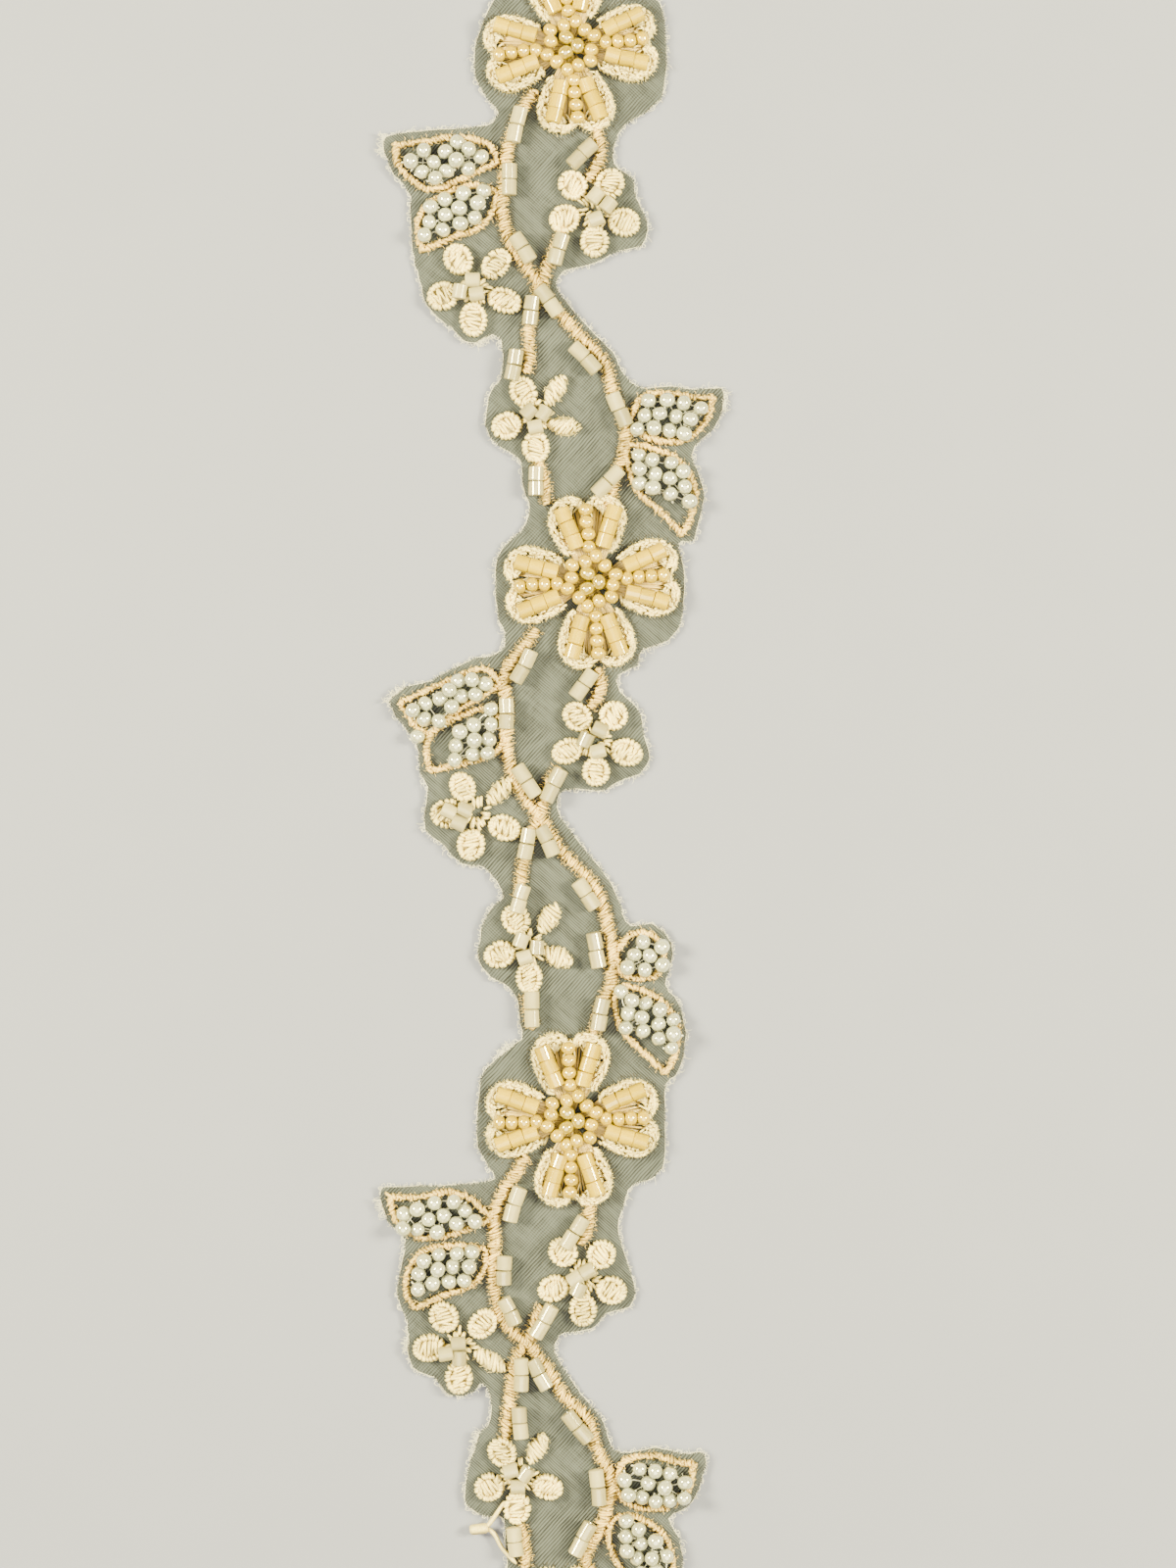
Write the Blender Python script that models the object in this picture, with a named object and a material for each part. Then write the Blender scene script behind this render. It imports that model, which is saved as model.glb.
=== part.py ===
"""Beaded vine trim on sheer organza: a cut length of three repeats between four big flowers.

The trim lies flat. Its length runs along Y, its width along X and its face is up, +Z.
Places in the tables are in millimetres from the drawing point of the design, and
to_datum() moves that design so that the middle of the ground's outline is the origin.
"""

import math

import bpy
import bmesh
from mathutils import Vector
from mathutils.geometry import delaunay_2d_cdt

MM = 0.001

# Heights above the table, mm
GROUND_TOP = 1.0
SEWN_FOOT = 1.3             # underside of everything sewn on the ground
PETAL_FLOOR = 1.8
PETAL_BAND_TOP = 2.2
BEADS_FOOT = 2.5            # underside of the bead work on the big flowers
SPOKE_TOP = 4.2
HEART_TOP = 4.6
BLOSSOM_TOP = 2.4
BLOSSOM_TUBES_FOOT = 2.7
BLOSSOM_TUBES_TOP = 4.1

# Threads and beads, mm
CORD_WIDTH = 2.2
CORD_HEIGHT = 1.2
LEAF_CORD_WIDTH = 1.1
LEAF_CORD_HEIGHT = 1.1
TUBE_WIDTH = 2.0
GROOVE = 0.12               # half-width of the groove between two tubes, in bead lengths
TUBE_FOOT = 1.6
TUBE_TOP = 3.3
PEARL_TOP = 3.2
PEARL_VALLEY = 2.2
PEARL_FLAT = 0.45           # half-width of the top facet of a pearl

# Colours, linear RGB
ORGANZA = (0.58, 0.60, 0.62)
PEACH = (0.78, 0.60, 0.42)
IVORY = (0.86, 0.80, 0.66)
APRICOT = (0.82, 0.64, 0.34)
OFF_WHITE = (0.84, 0.80, 0.70)
PEARL_GREY = (0.70, 0.71, 0.68)

# Big flowers: centre x, centre y, turn in degrees
FLOWERS = {
    "1": (3.1, 104.4, 5.0),
    "2": (6.1, 28.6, 4.0),
    "3": (3.2, -47.6, 1.0),
    "4": (2.5, -123.3, 3.0),
}

# Half a petal of a big flower, from the middle of its notch: angle in degrees, radius
HALF_PETAL = ((0, 11.2), (6, 12.2), (13, 12.6), (21, 12.3), (29, 11.2), (35, 9.4), (39, 7.0))
PETAL_GAP_RADIUS = 4.9
PETAL_BAND_WIDTH = 1.8

# Bead spokes of one petal: degrees off the petal's middle, first radius, last radius, beads
SPOKES = ((-20.0, 4.4, 11.0, 3), (0.0, 4.4, 10.6, 4), (20.0, 4.4, 11.0, 3))
HEART_RADIUS = 4.7
HEART_RING = 3.5            # radius of the ring of round beads
HEART_RING_BEADS = 12

# Small flowers: centre x, centre y, turn in degrees
BLOSSOMS = {
    "a1": (6.5, 81.3, 2.0),
    "b1": (-10.7, 70.3, 0.0),
    "c1": (-1.9, 51.9, 2.0),
    "a2": (6.7, 6.1, 3.0),
    "b2": (-10.5, -4.4, -4.0),
    "c2": (-2.8, -23.1, 1.0),
    "a3": (4.9, -70.1, 3.0),
    "b3": (-12.7, -79.8, 0.0),
    "c3": (-4.3, -98.3, 1.0),
}
BLOSSOM_PETALS = (-90.0, -20.0, 50.0, 122.0, 195.0)     # direction of each petal, degrees
# Half a petal of a small flower: share of the way to the next petal, radius
HALF_BLOSSOM_PETAL = ((0.0, 6.6), (0.45, 6.1), (0.72, 4.6))
BLOSSOM_GAP_RADIUS = 2.9
BLOSSOM_CREST = 0.72        # where a petal is highest, as a share of its radius
BLOSSOM_TUBE_ANGLES = (100.0, 15.0, -95.0)

# Leaves: base, one side, tip, other side
LEAVES = {
    "l1_upper": ((-8.3, 88.2), ((-9.6, 90.6), (-13.2, 91.6), (-17.5, 91.1)), (-21.9, 90.5),
                 ((-20.8, 87.0), (-16.9, 84.6), (-12.2, 86.1))),
    "l1_lower": ((-8.6, 83.6), ((-11.0, 84.4), (-14.4, 83.1), (-17.9, 81.0)), (-17.9, 75.6),
                 ((-13.2, 77.9), (-10.4, 78.9), (-8.9, 81.0))),
    "r1_upper": ((12.9, 51.6), ((13.8, 54.4), (17.0, 55.2), (21.0, 54.7)), (23.3, 54.9),
                 ((22.4, 51.6), (19.2, 48.9), (14.8, 49.3))),
    "r1_lower": ((12.8, 47.3), ((15.0, 47.2), (18.3, 45.6), (20.7, 42.0)), (19.0, 35.3),
                 ((16.2, 38.2), (13.6, 41.3), (12.5, 44.4))),
    "l2_upper": ((-8.3, 14.4), ((-10.0, 16.1), (-13.5, 14.9), (-18.0, 12.9)), (-21.1, 11.5),
                 ((-19.6, 8.9), (-17.0, 8.4), (-12.8, 10.9))),
    "l2_lower": ((-8.1, 8.3), ((-9.7, 10.0), (-13.0, 8.9), (-16.9, 6.2)), (-16.8, 1.8),
                 ((-12.5, 2.8), (-9.4, 3.9), (-8.1, 5.8))),
    "r2_upper": ((11.1, -24.4), ((12.0, -21.9), (13.8, -21.1), (15.4, -22.2)), (16.4, -24.2),
                 ((15.4, -26.8), (13.3, -27.2), (11.5, -26.6))),
    "r2_lower": ((11.1, -30.0), ((13.2, -29.2), (16.4, -31.0), (18.3, -34.7)), (16.5, -41.0),
                 ((13.4, -38.1), (11.0, -35.4), (10.7, -32.4))),
    "l3_upper": ((-9.8, -61.5), ((-11.6, -58.9), (-14.6, -57.9), (-18.6, -58.7)), (-22.6, -58.5),
                 ((-21.6, -62.0), (-18.4, -64.0), (-13.4, -63.5))),
    "l3_lower": ((-10.1, -67.4), ((-11.4, -65.7), (-17.6, -66.1), (-20.1, -69.6)), (-19.0, -74.2),
                 ((-14.8, -72.3), (-11.8, -71.3), (-10.2, -69.2))),
    "r3_upper": ((10.9, -99.6), ((11.6, -96.6), (14.4, -95.5), (18.4, -96.2)), (20.6, -96.4),
                 ((19.6, -100.4), (16.0, -102.3), (12.0, -102.0))),
    "r3_lower": ((10.5, -105.3), ((12.4, -104.5), (16.2, -106.6), (17.6, -110.4)), (15.6, -116.7),
                 ((12.4, -114.0), (10.0, -110.6), (9.6, -107.4))),
}

# Pearls of each leaf, x and y
PEARLS = {
    "l1_upper": ((-12.9, 90.4), (-17.5, 89.4), (-14.6, 89.2), (-11.0, 89.6), (-19.4, 88.6),
                 (-16.2, 88.0), (-12.8, 88.2), (-17.8, 86.4), (-14.6, 86.7), (-10.2, 88.0)),
    "l1_lower": ((-10.3, 83.0), (-12.2, 83.0), (-14.7, 81.8), (-10.2, 81.2), (-16.6, 80.9),
                 (-12.6, 81.0), (-14.5, 79.8), (-12.4, 79.2), (-16.7, 78.7), (-10.6, 80.0)),
    "r1_upper": ((14.7, 53.5), (16.9, 53.8), (19.2, 53.4), (21.5, 53.2), (14.4, 51.3),
                 (16.3, 51.9), (18.4, 51.6), (20.7, 51.2), (16.6, 50.2), (18.8, 50.1)),
    "r1_lower": ((14.2, 45.8), (16.4, 45.4), (18.2, 44.0), (14.1, 43.6), (16.2, 43.5),
                 (19.3, 42.1), (14.6, 41.6), (17.1, 41.5), (19.2, 40.1), (17.4, 39.2)),
    "l2_upper": ((-12.5, 13.6), (-9.9, 14.7), (-14.6, 13.0), (-11.4, 12.3), (-16.4, 12.2),
                 (-13.6, 11.6), (-18.6, 11.0), (-15.6, 10.4), (-17.8, 9.8), (-19.7, 11.3)),
    "l2_lower": ((-9.5, 8.7), (-11.6, 8.1), (-9.4, 6.7), (-13.7, 7.0), (-11.6, 6.1),
                 (-9.8, 5.3), (-13.4, 5.0), (-11.4, 4.2), (-13.6, 3.6)),
    "r2_upper": ((13.3, -22.9), (14.9, -23.6), (12.6, -24.4), (14.7, -25.5), (12.8, -25.9)),
    "r2_lower": ((12.3, -30.8), (14.3, -31.0), (12.4, -32.9), (14.3, -33.0), (16.2, -32.6),
                 (12.6, -34.9), (14.8, -34.9), (16.7, -34.6), (14.9, -37.0), (16.8, -36.7)),
    "l3_upper": ((-20.6, -60.1), (-18.3, -60.4), (-16.0, -59.5), (-13.4, -59.4), (-11.5, -60.8),
                 (-19.5, -62.1), (-17.2, -62.3), (-14.9, -61.3), (-12.8, -61.9), (-15.2, -63.0)),
    "l3_lower": ((-15.6, -67.3), (-13.3, -67.2), (-11.6, -68.1), (-17.7, -67.7), (-18.4, -70.0),
                 (-16.0, -69.3), (-13.8, -69.1), (-18.4, -72.3), (-16.3, -71.4), (-14.0, -71.0)),
    "r3_upper": ((13.1, -97.2), (15.3, -97.0), (17.5, -97.6), (12.3, -99.1), (14.4, -99.0),
                 (16.6, -99.4), (18.7, -99.1), (13.2, -100.8), (15.3, -101.0), (17.3, -101.0)),
    "r3_lower": ((11.7, -106.0), (13.8, -106.6), (11.3, -108.1), (13.3, -108.6), (15.6, -107.9),
                 (12.5, -110.4), (14.5, -110.6), (16.3, -110.3), (13.6, -112.4), (15.6, -112.6)),
}

# Main cord of each repeat, from one big flower to the next
MAIN_CORDS = {
    "1": ((-4.4, 94.7), (-5.8, 90.6), (-6.4, 86.6), (-6.6, 82.6), (-5.6, 77.1), (-2.9, 73.0),
          (-1.1, 70.4), (0.6, 67.7), (4.4, 63.5), (8.0, 59.4), (9.4, 55.2), (11.0, 50.6),
          (10.7, 46.8), (9.5, 43.6)),
    "2": ((-4.0, 18.9), (-5.6, 16.4), (-6.2, 12.2), (-6.0, 6.9), (-5.2, 2.2), (-3.2, -1.8),
          (-1.3, -4.7), (0.6, -7.8), (3.4, -11.2), (6.3, -14.3), (8.0, -18.6), (8.9, -23.4),
          (8.7, -28.2), (7.8, -32.2)),
    "3": ((-5.2, -56.2), (-6.9, -58.9), (-7.8, -62.8), (-7.9, -68.0), (-7.4, -73.3),
          (-5.5, -77.2), (-3.1, -79.3), (-0.9, -82.1), (1.8, -86.2), (5.2, -89.8), (6.7, -94.0),
          (8.7, -98.6), (8.4, -102.6), (7.1, -106.2)),
}

# Side cord of each repeat, which crosses the main one
SIDE_CORDS = {
    "1": ((2.2, 76.6), (0.9, 74.4), (-0.6, 71.8), (-1.9, 68.6), (-2.8, 65.0), (-3.0, 61.2)),
    "2": ((1.6, 1.6), (0.1, -0.6), (-1.3, -4.4), (-2.5, -7.4), (-3.6, -11.0), (-3.9, -14.0)),
    "3": ((0.0, -74.2), (-1.6, -76.4), (-3.1, -79.3), (-4.6, -81.8), (-5.3, -85.7), (-5.7, -89.4)),
}

# Short cords: from a big flower to the small flower below it, and on to the next big one
SHORT_CORDS = {
    "a1": ((6.8, 90.9), (7.3, 89.2), (6.8, 87.9)),
    "a2": ((7.2, 15.0), (7.4, 13.6), (6.9, 12.4)),
    "a3": ((5.4, -60.9), (5.6, -62.4), (5.2, -63.8)),
    "c1": ((-1.7, 44.7), (-1.0, 43.0), (-0.7, 41.7)),
    "c2": ((-2.8, -30.4), (-2.5, -32.0), (-2.2, -33.4)),
    "c3": ((-4.2, -105.7), (-3.9, -107.6), (-3.7, -109.4)),
}

# Pairs of tube beads: cord that they lie on, and the middles of the two tubes
TUBE_PAIRS = (
    ("vine_1", (-4.0, 93.6), (-4.7, 91.2)), ("vine_1", (-5.4, 86.7), (-5.4, 84.4)),
    ("vine_1", (-4.3, 76.8), (-3.1, 74.9)), ("vine_1", (-0.2, 69.0), (0.9, 67.1)),
    ("vine_1", (4.2, 61.9), (5.8, 60.1)), ("vine_1", (9.4, 54.2), (10.3, 52.0)),
    ("vine_1", (10.0, 45.6), (8.9, 43.8)), ("vine_1", (1.7, 76.0), (0.8, 74.0)),
    ("vine_1", (-2.4, 67.9), (-2.9, 65.8)), ("vine_1", (-4.5, 62.4), (-4.8, 60.2)),
    ("vine_2", (-3.3, 18.3), (-4.5, 16.3)), ("vine_2", (-5.6, 11.0), (-5.6, 8.8)),
    ("vine_2", (-4.2, 1.4), (-2.9, -0.6)), ("vine_2", (-0.7, -6.0), (0.5, -8.0)),
    ("vine_2", (4.7, -13.6), (6.0, -15.6)), ("vine_2", (7.6, -22.2), (7.8, -24.6)),
    ("vine_2", (8.3, -29.0), (7.8, -31.3)), ("vine_2", (1.2, 0.4), (0.2, -1.7)),
    ("vine_2", (-2.9, -7.6), (-3.3, -9.8)), ("vine_2", (-3.6, -12.0), (-4.2, -14.1)),
    ("vine_3", (-5.0, -57.4), (-6.1, -59.6)), ("vine_3", (-6.7, -67.9), (-6.8, -70.1)),
    ("vine_3", (-6.3, -73.6), (-5.3, -75.6)), ("vine_3", (-1.7, -82.4), (-0.6, -84.4)),
    ("vine_3", (3.7, -89.6), (5.2, -91.4)), ("vine_3", (7.2, -98.3), (7.6, -100.7)),
    ("vine_3", (6.9, -103.6), (6.2, -105.8)), ("vine_3", (-0.5, -75.3), (-1.6, -77.3)),
    ("vine_3", (-4.5, -82.5), (-4.7, -84.9)), ("vine_3", (-4.9, -88.2), (-4.9, -90.4)),
    ("short_cord_a1", (5.9, 90.4), (4.4, 88.8)), ("short_cord_a2", (6.2, 14.9), (4.9, 13.5)),
    ("short_cord_a3", (4.6, -61.6), (3.4, -63.0)), ("short_cord_c1", (-2.1, 43.6), (-1.9, 41.6)),
    ("short_cord_c2", (-2.5, -31.2), (-2.4, -33.2)),
    ("short_cord_c3", (-4.7, -106.5), (-4.5, -108.6)),
)

# Hand-cut outline of the organza, anticlockwise from the top of the first flower
OUTLINE_LEFT = (
    (3.0, 119.3), (-3.4, 118.4), (-5.4, 115.2), (-8.3, 110.6), (-10.2, 105.8), (-10.7, 102.4),
    (-10.2, 99.2), (-8.2, 96.6), (-7.4, 95.0), (-8.9, 93.6), (-13.2, 93.1), (-20.8, 92.5),
    (-23.3, 91.6), (-23.3, 89.3), (-22.1, 86.4), (-20.0, 84.0), (-19.7, 81.4), (-19.6, 78.2),
    (-19.3, 74.6), (-18.5, 71.6), (-17.6, 68.4), (-16.0, 66.2), (-13.9, 64.6), (-12.2, 62.9),
    (-10.0, 62.5), (-8.0, 63.6), (-6.9, 62.8), (-6.5, 60.0), (-6.9, 57.5), (-8.4, 55.6),
    (-9.0, 52.8), (-8.9, 50.0), (-7.4, 48.0), (-5.0, 46.6), (-3.9, 45.0), (-3.6, 41.4),
    (-2.8, 39.2), (-4.0, 36.0), (-6.7, 33.4), (-7.6, 30.6), (-7.5, 24.6), (-6.4, 21.4),
    (-6.4, 19.6), (-8.3, 18.2), (-11.4, 17.6), (-16.7, 14.8), (-19.9, 13.9), (-22.6, 12.2),
    (-21.9, 9.6), (-20.1, 7.4), (-18.9, 5.6), (-18.3, 1.4), (-17.3, -0.6), (-17.8, -4.4),
    (-17.2, -7.2), (-14.9, -8.9), (-13.5, -10.6), (-11.7, -11.7), (-9.3, -11.9), (-7.6, -13.9),
    (-6.6, -16.0), (-8.0, -17.4), (-9.4, -19.8), (-10.0, -22.5), (-9.9, -25.4), (-8.0, -27.6),
    (-5.8, -28.9), (-4.6, -30.8), (-4.3, -33.4), (-4.0, -36.1), (-7.3, -38.6), (-9.6, -41.6),
    (-10.2, -45.9), (-10.1, -51.4), (-8.5, -54.6), (-8.2, -56.3), (-13.2, -56.8),
    (-20.8, -57.1), (-23.7, -57.2), (-24.0, -59.2), (-22.9, -62.3), (-20.6, -65.0),
    (-21.3, -69.4), (-21.4, -73.4), (-20.2, -76.4), (-20.2, -80.4), (-19.2, -83.0),
    (-16.3, -84.4), (-14.9, -86.3), (-12.8, -87.1), (-10.8, -86.3), (-9.4, -85.2),
    (-8.3, -87.2), (-8.4, -90.2), (-10.0, -92.4), (-11.2, -95.8), (-12.0, -99.6),
    (-11.6, -102.4), (-9.2, -104.0), (-6.5, -104.4), (-6.3, -107.6), (-6.1, -111.4),
    (-8.6, -114.6), (-10.4, -118.2), (-11.0, -123.0), (-10.3, -128.2), (-8.2, -131.0),
    (-4.9, -132.4), (-4.6, -136.0), (-2.2, -137.6),
)
OUTLINE_RIGHT = (
    (3.0, -137.0), (8.6, -137.8), (10.4, -135.4), (10.8, -132.6), (14.0, -131.4),
    (15.8, -128.4), (16.0, -122.6), (16.4, -119.0), (18.4, -115.6), (19.1, -110.8),
    (18.5, -106.9), (17.1, -104.3), (19.9, -102.4), (21.4, -99.6), (22.3, -95.2),
    (18.6, -94.9), (15.0, -94.1), (10.2, -94.9), (8.6, -92.9), (7.7, -90.2), (4.6, -86.6),
    (2.4, -83.3), (0.9, -80.6), (1.6, -78.4), (4.2, -77.8), (6.6, -77.2), (8.2, -75.4),
    (11.5, -74.2), (12.2, -71.5), (10.8, -66.7), (10.0, -62.9), (10.8, -59.7), (11.9, -57.1),
    (15.0, -55.9), (16.5, -53.2), (16.6, -45.8), (16.7, -42.6), (18.6, -40.6), (19.5, -35.6),
    (18.6, -31.2), (16.6, -28.6), (17.5, -25.2), (17.1, -21.8), (14.6, -19.8), (11.6, -20.1),
    (10.2, -17.4), (8.9, -14.0), (6.4, -10.8), (3.9, -7.6), (1.2, -3.6), (2.4, -1.0),
    (7.6, -1.0), (9.9, 0.2), (12.9, 1.4), (14.4, 3.6), (13.6, 6.9), (12.7, 10.6), (10.2, 13.0),
    (9.9, 15.2), (12.6, 16.7), (13.2, 18.9), (17.1, 20.3), (19.0, 23.6), (19.2, 30.4),
    (18.5, 33.9), (20.6, 34.6), (21.6, 38.4), (22.1, 41.6), (20.6, 45.6), (20.8, 48.0),
    (23.6, 50.4), (24.7, 53.2), (24.6, 56.1), (20.8, 56.1), (16.7, 56.4), (12.6, 56.4),
    (10.3, 58.9), (9.3, 61.2), (6.6, 63.9), (3.7, 67.0), (1.2, 70.4), (2.2, 72.6),
    (6.3, 73.8), (9.9, 75.4), (13.3, 76.4), (14.1, 79.6), (12.6, 83.0), (11.9, 86.0),
    (9.4, 88.0), (9.6, 91.0), (11.0, 93.5), (15.0, 96.3), (16.6, 99.4), (16.5, 108.4),
    (15.0, 111.6), (11.3, 113.0), (9.9, 117.4),
)


def to_datum():
    """How far the design moves, so that the middle of the ground's outline is the origin."""
    points = OUTLINE_LEFT + OUTLINE_RIGHT
    across = [point[0] for point in points]
    along = [point[1] for point in points]
    return Vector((-(min(across) + max(across)) / 2, -(min(along) + max(along)) / 2))


DATUM = to_datum()


# Cross-sections of the cords: shares of the width and the height
ROUND_SECTION = ((-0.5, 0.0), (0.5, 0.0), (0.46, 0.6), (0.0, 1.0), (-0.46, 0.6))
FLAT_SECTION = ((-0.5, 0.0), (0.5, 0.0), (0.28, 1.0), (-0.28, 1.0))


def place(point, height):
    """A point of the design and its height, in metres from the origin."""
    return Vector(((point[0] + DATUM.x) * MM, (point[1] + DATUM.y) * MM, height * MM))


def polar(centre, radius, degrees):
    """The point at a radius and a direction from a centre."""
    angle = math.radians(degrees)
    return (centre[0] + radius * math.cos(angle), centre[1] + radius * math.sin(angle))


def smooth(points, steps):
    """Points of the smooth curve that runs through the given points."""
    ends = [2 * Vector(points[0]) - Vector(points[1])]
    ends += [Vector(point) for point in points]
    ends += [2 * Vector(points[-1]) - Vector(points[-2])]
    curve = []
    for a, b, c, d in zip(ends, ends[1:], ends[2:], ends[3:]):
        for step in range(steps):
            t = step / steps
            curve.append(0.5 * (2 * b + (c - a) * t + (2 * a - 5 * b + 4 * c - d) * t * t
                                + (3 * b - a - 3 * c + d) * t * t * t))
    curve.append(ends[-2])
    return curve


def material(name, colour, roughness):
    """A Principled material of one colour and roughness."""
    made = bpy.data.materials.new(name)
    made.use_nodes = True
    shader = made.node_tree.nodes["Principled BSDF"]
    shader.inputs["Base Color"].default_value = (*colour, 1.0)
    shader.inputs["Roughness"].default_value = roughness
    shader.inputs["Metallic"].default_value = 0.0
    return made


def finish(bm, name, colour, roughness):
    """Make a named object with its own material from a closed mesh."""
    bmesh.ops.recalc_face_normals(bm, faces=bm.faces)
    mesh = bpy.data.meshes.new(name)
    bm.to_mesh(mesh)
    bm.free()
    mesh.shade_smooth()
    mesh.set_sharp_from_angle(angle=math.radians(30))
    mesh.materials.append(material(name, colour, roughness))
    made = bpy.data.objects.new(name, mesh)
    bpy.context.collection.objects.link(made)
    return made


def loft(bm, loops, closed=False):
    """Skin a row of equal loops of points, with flat ends unless the row closes on itself."""
    rings = [[bm.verts.new(point) for point in loop] for loop in loops]
    pairs = list(zip(rings, rings[1:]))
    if closed:
        pairs.append((rings[-1], rings[0]))
    for ring, after in pairs:
        for i in range(len(ring)):
            j = (i + 1) % len(ring)
            bm.faces.new((ring[i], ring[j], after[j], after[i]))
    if not closed:
        bm.faces.new(reversed(rings[0]))
        bm.faces.new(rings[-1])


def headings(path, closed=False):
    """The direction of a path at each of its points."""
    found = []
    for i in range(len(path)):
        before = path[i - 1] if i or closed else path[0]
        after = path[(i + 1) % len(path)] if i + 1 < len(path) or closed else path[-1]
        found.append((Vector(after) - Vector(before)).normalized())
    return found


def cord(bm, path, width, height, closed=False):
    """A padded satin cord along a path: flat below, rounded to a ridge above."""
    section = ROUND_SECTION if width == CORD_WIDTH else FLAT_SECTION
    loops = []
    for point, along in zip(path, headings(path, closed)):
        side = Vector((along.y, -along.x))
        loops.append([place(point + side * (across * width), SEWN_FOOT + up * height)
                      for across, up in section])
    loft(bm, loops, closed)


def bead_bar(bm, start, end, width, foot, top, beads, round_beads=False):
    """A row of beads on one thread, joined into a bar with a groove between beads."""
    along = Vector(end) - Vector(start)
    side = Vector((along.y, -along.x)).normalized()
    share = 1.0 / beads
    rows = [(0.0, 0.6 if round_beads else 1.0)]
    for bead in range(beads):
        if round_beads:
            rows.append(((bead + 0.5) * share, 1.0))
        elif bead:
            rows.append(((bead + GROOVE) * share, 1.0))
        if bead + 1 < beads:
            if not round_beads:
                rows.append(((bead + 1 - GROOVE) * share, 1.0))
            rows.append(((bead + 1) * share, 0.72))
    rows.append((1.0, 0.6 if round_beads else 1.0))
    loops = []
    for way, size in rows:
        middle = Vector(start) + along * way
        half = width * 0.5 * size
        crown = foot + (top - foot) * (0.5 + 0.5 * size)
        loops.append([place(middle - side * half, foot), place(middle + side * half, foot),
                      place(middle + side * half * 0.62, crown),
                      place(middle - side * half * 0.62, crown)])
    loft(bm, loops)


def plate(bm, outline, foot, top):
    """A flat plate of any outline."""
    loft(bm, [[place(point, foot) for point in outline], [place(point, top) for point in outline]])


def joined(name, pieces, colour, roughness):
    """One closed body from overlapping closed pieces, each drawn by its own function."""
    bodies = []
    for number, draw in enumerate(pieces):
        bm = bmesh.new()
        draw(bm)
        label = name if number == 0 else f"{name}.piece.{number}"
        bodies.append(finish(bm, label, colour, roughness))
    first = bodies[0]
    for other in bodies[1:]:
        union = first.modifiers.new("join", "BOOLEAN")
        union.operation = "UNION"
        union.solver = "EXACT"
        union.object = other
    apply_modifiers(first)
    merge_flat_faces(first)
    for other in bodies[1:]:
        spare = other.data
        tint = spare.materials[0]
        bpy.data.objects.remove(other)
        bpy.data.meshes.remove(spare)
        bpy.data.materials.remove(tint)
    return first


def merge_flat_faces(thing):
    """Join the small faces that lie in one plane, then cut the mesh into triangles."""
    bm = bmesh.new()
    bm.from_mesh(thing.data)
    bmesh.ops.dissolve_limit(bm, angle_limit=math.radians(2.0), verts=bm.verts, edges=bm.edges)
    bmesh.ops.triangulate(bm, faces=bm.faces)
    bm.to_mesh(thing.data)
    bm.free()


def apply_modifiers(thing):
    """Replace an object's mesh by what its modifiers make of it."""
    depsgraph = bpy.context.evaluated_depsgraph_get()
    shaped = bpy.data.meshes.new_from_object(thing.evaluated_get(depsgraph))
    plain = thing.data
    thing.modifiers.clear()
    thing.data = shaped
    bpy.data.meshes.remove(plain)
    shaped.name = thing.name
    tint = shaped.materials[0]
    shaped.materials.clear()
    shaped.materials.append(tint)


def organza_ground():
    """The hand-cut sheet that everything is sewn on."""
    bm = bmesh.new()
    plate(bm, OUTLINE_LEFT + OUTLINE_RIGHT, 0.0, GROUND_TOP)
    bmesh.ops.triangulate(bm, faces=bm.faces)
    return finish(bm, "organza_ground", ORGANZA, 0.6)


def flower_outline(inset):
    """Angles and radii round a big flower, drawn in by an inset."""
    points = []
    for quarter in range(4):
        for degrees, radius in reversed(HALF_PETAL[1:]):
            points.append((quarter * 90 - degrees, radius, degrees))
        for degrees, radius in HALF_PETAL:
            points.append((quarter * 90 + degrees, radius, degrees))
        points.append((quarter * 90 + 45, PETAL_GAP_RADIUS, 45))
    drawn = []
    for degrees, radius, off in points:
        turn = math.radians(min(off, 39.0)) * inset / 12.0
        lean = math.copysign(math.degrees(turn), ((degrees + 45) % 90) - 45)
        drawn.append((degrees - (lean if off < 45 else 0.0), max(radius - inset, 3.2)))
    return drawn


def flower_satin(name, centre):
    """Satin edge of the four petals, with the low stitched floor inside it."""
    x, y, turn = centre
    rows = ((0.0, SEWN_FOOT), (0.0, PETAL_BAND_TOP - 0.35), (0.5, PETAL_BAND_TOP),
            (PETAL_BAND_WIDTH, PETAL_FLOOR))
    bm = bmesh.new()
    loops = []
    for inset, height in rows:
        loops.append([place(polar((x, y), radius, degrees + turn), height)
                      for degrees, radius in flower_outline(inset)])
    loft(bm, loops)
    bmesh.ops.triangulate(bm, faces=bm.faces)
    return finish(bm, name, IVORY, 0.7)


def heart(bm, centre):
    """Middle of a big flower: a ring of round beads about three clear ones."""
    x, y, turn = centre
    rows = ((HEART_RADIUS, 0.0, 0.0), (HEART_RADIUS, 0.62, 0.0), (HEART_RING, 0.86, 0.14),
            (HEART_RING * 0.45, 0.8, 0.05))
    sides = 2 * HEART_RING_BEADS
    loops = []
    for radius, rise, lump in rows:
        loop = []
        for side in range(sides):
            up = rise + (lump if side % 2 else -lump)
            reach = radius * (0.96 if side % 2 == 0 and radius == HEART_RADIUS else 1.0)
            height = BEADS_FOOT + (HEART_TOP - BEADS_FOOT) * up
            loop.append(place(polar((x, y), reach, turn + side * 360 / sides), height))
        loops.append(loop)
    loft(bm, loops)


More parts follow.
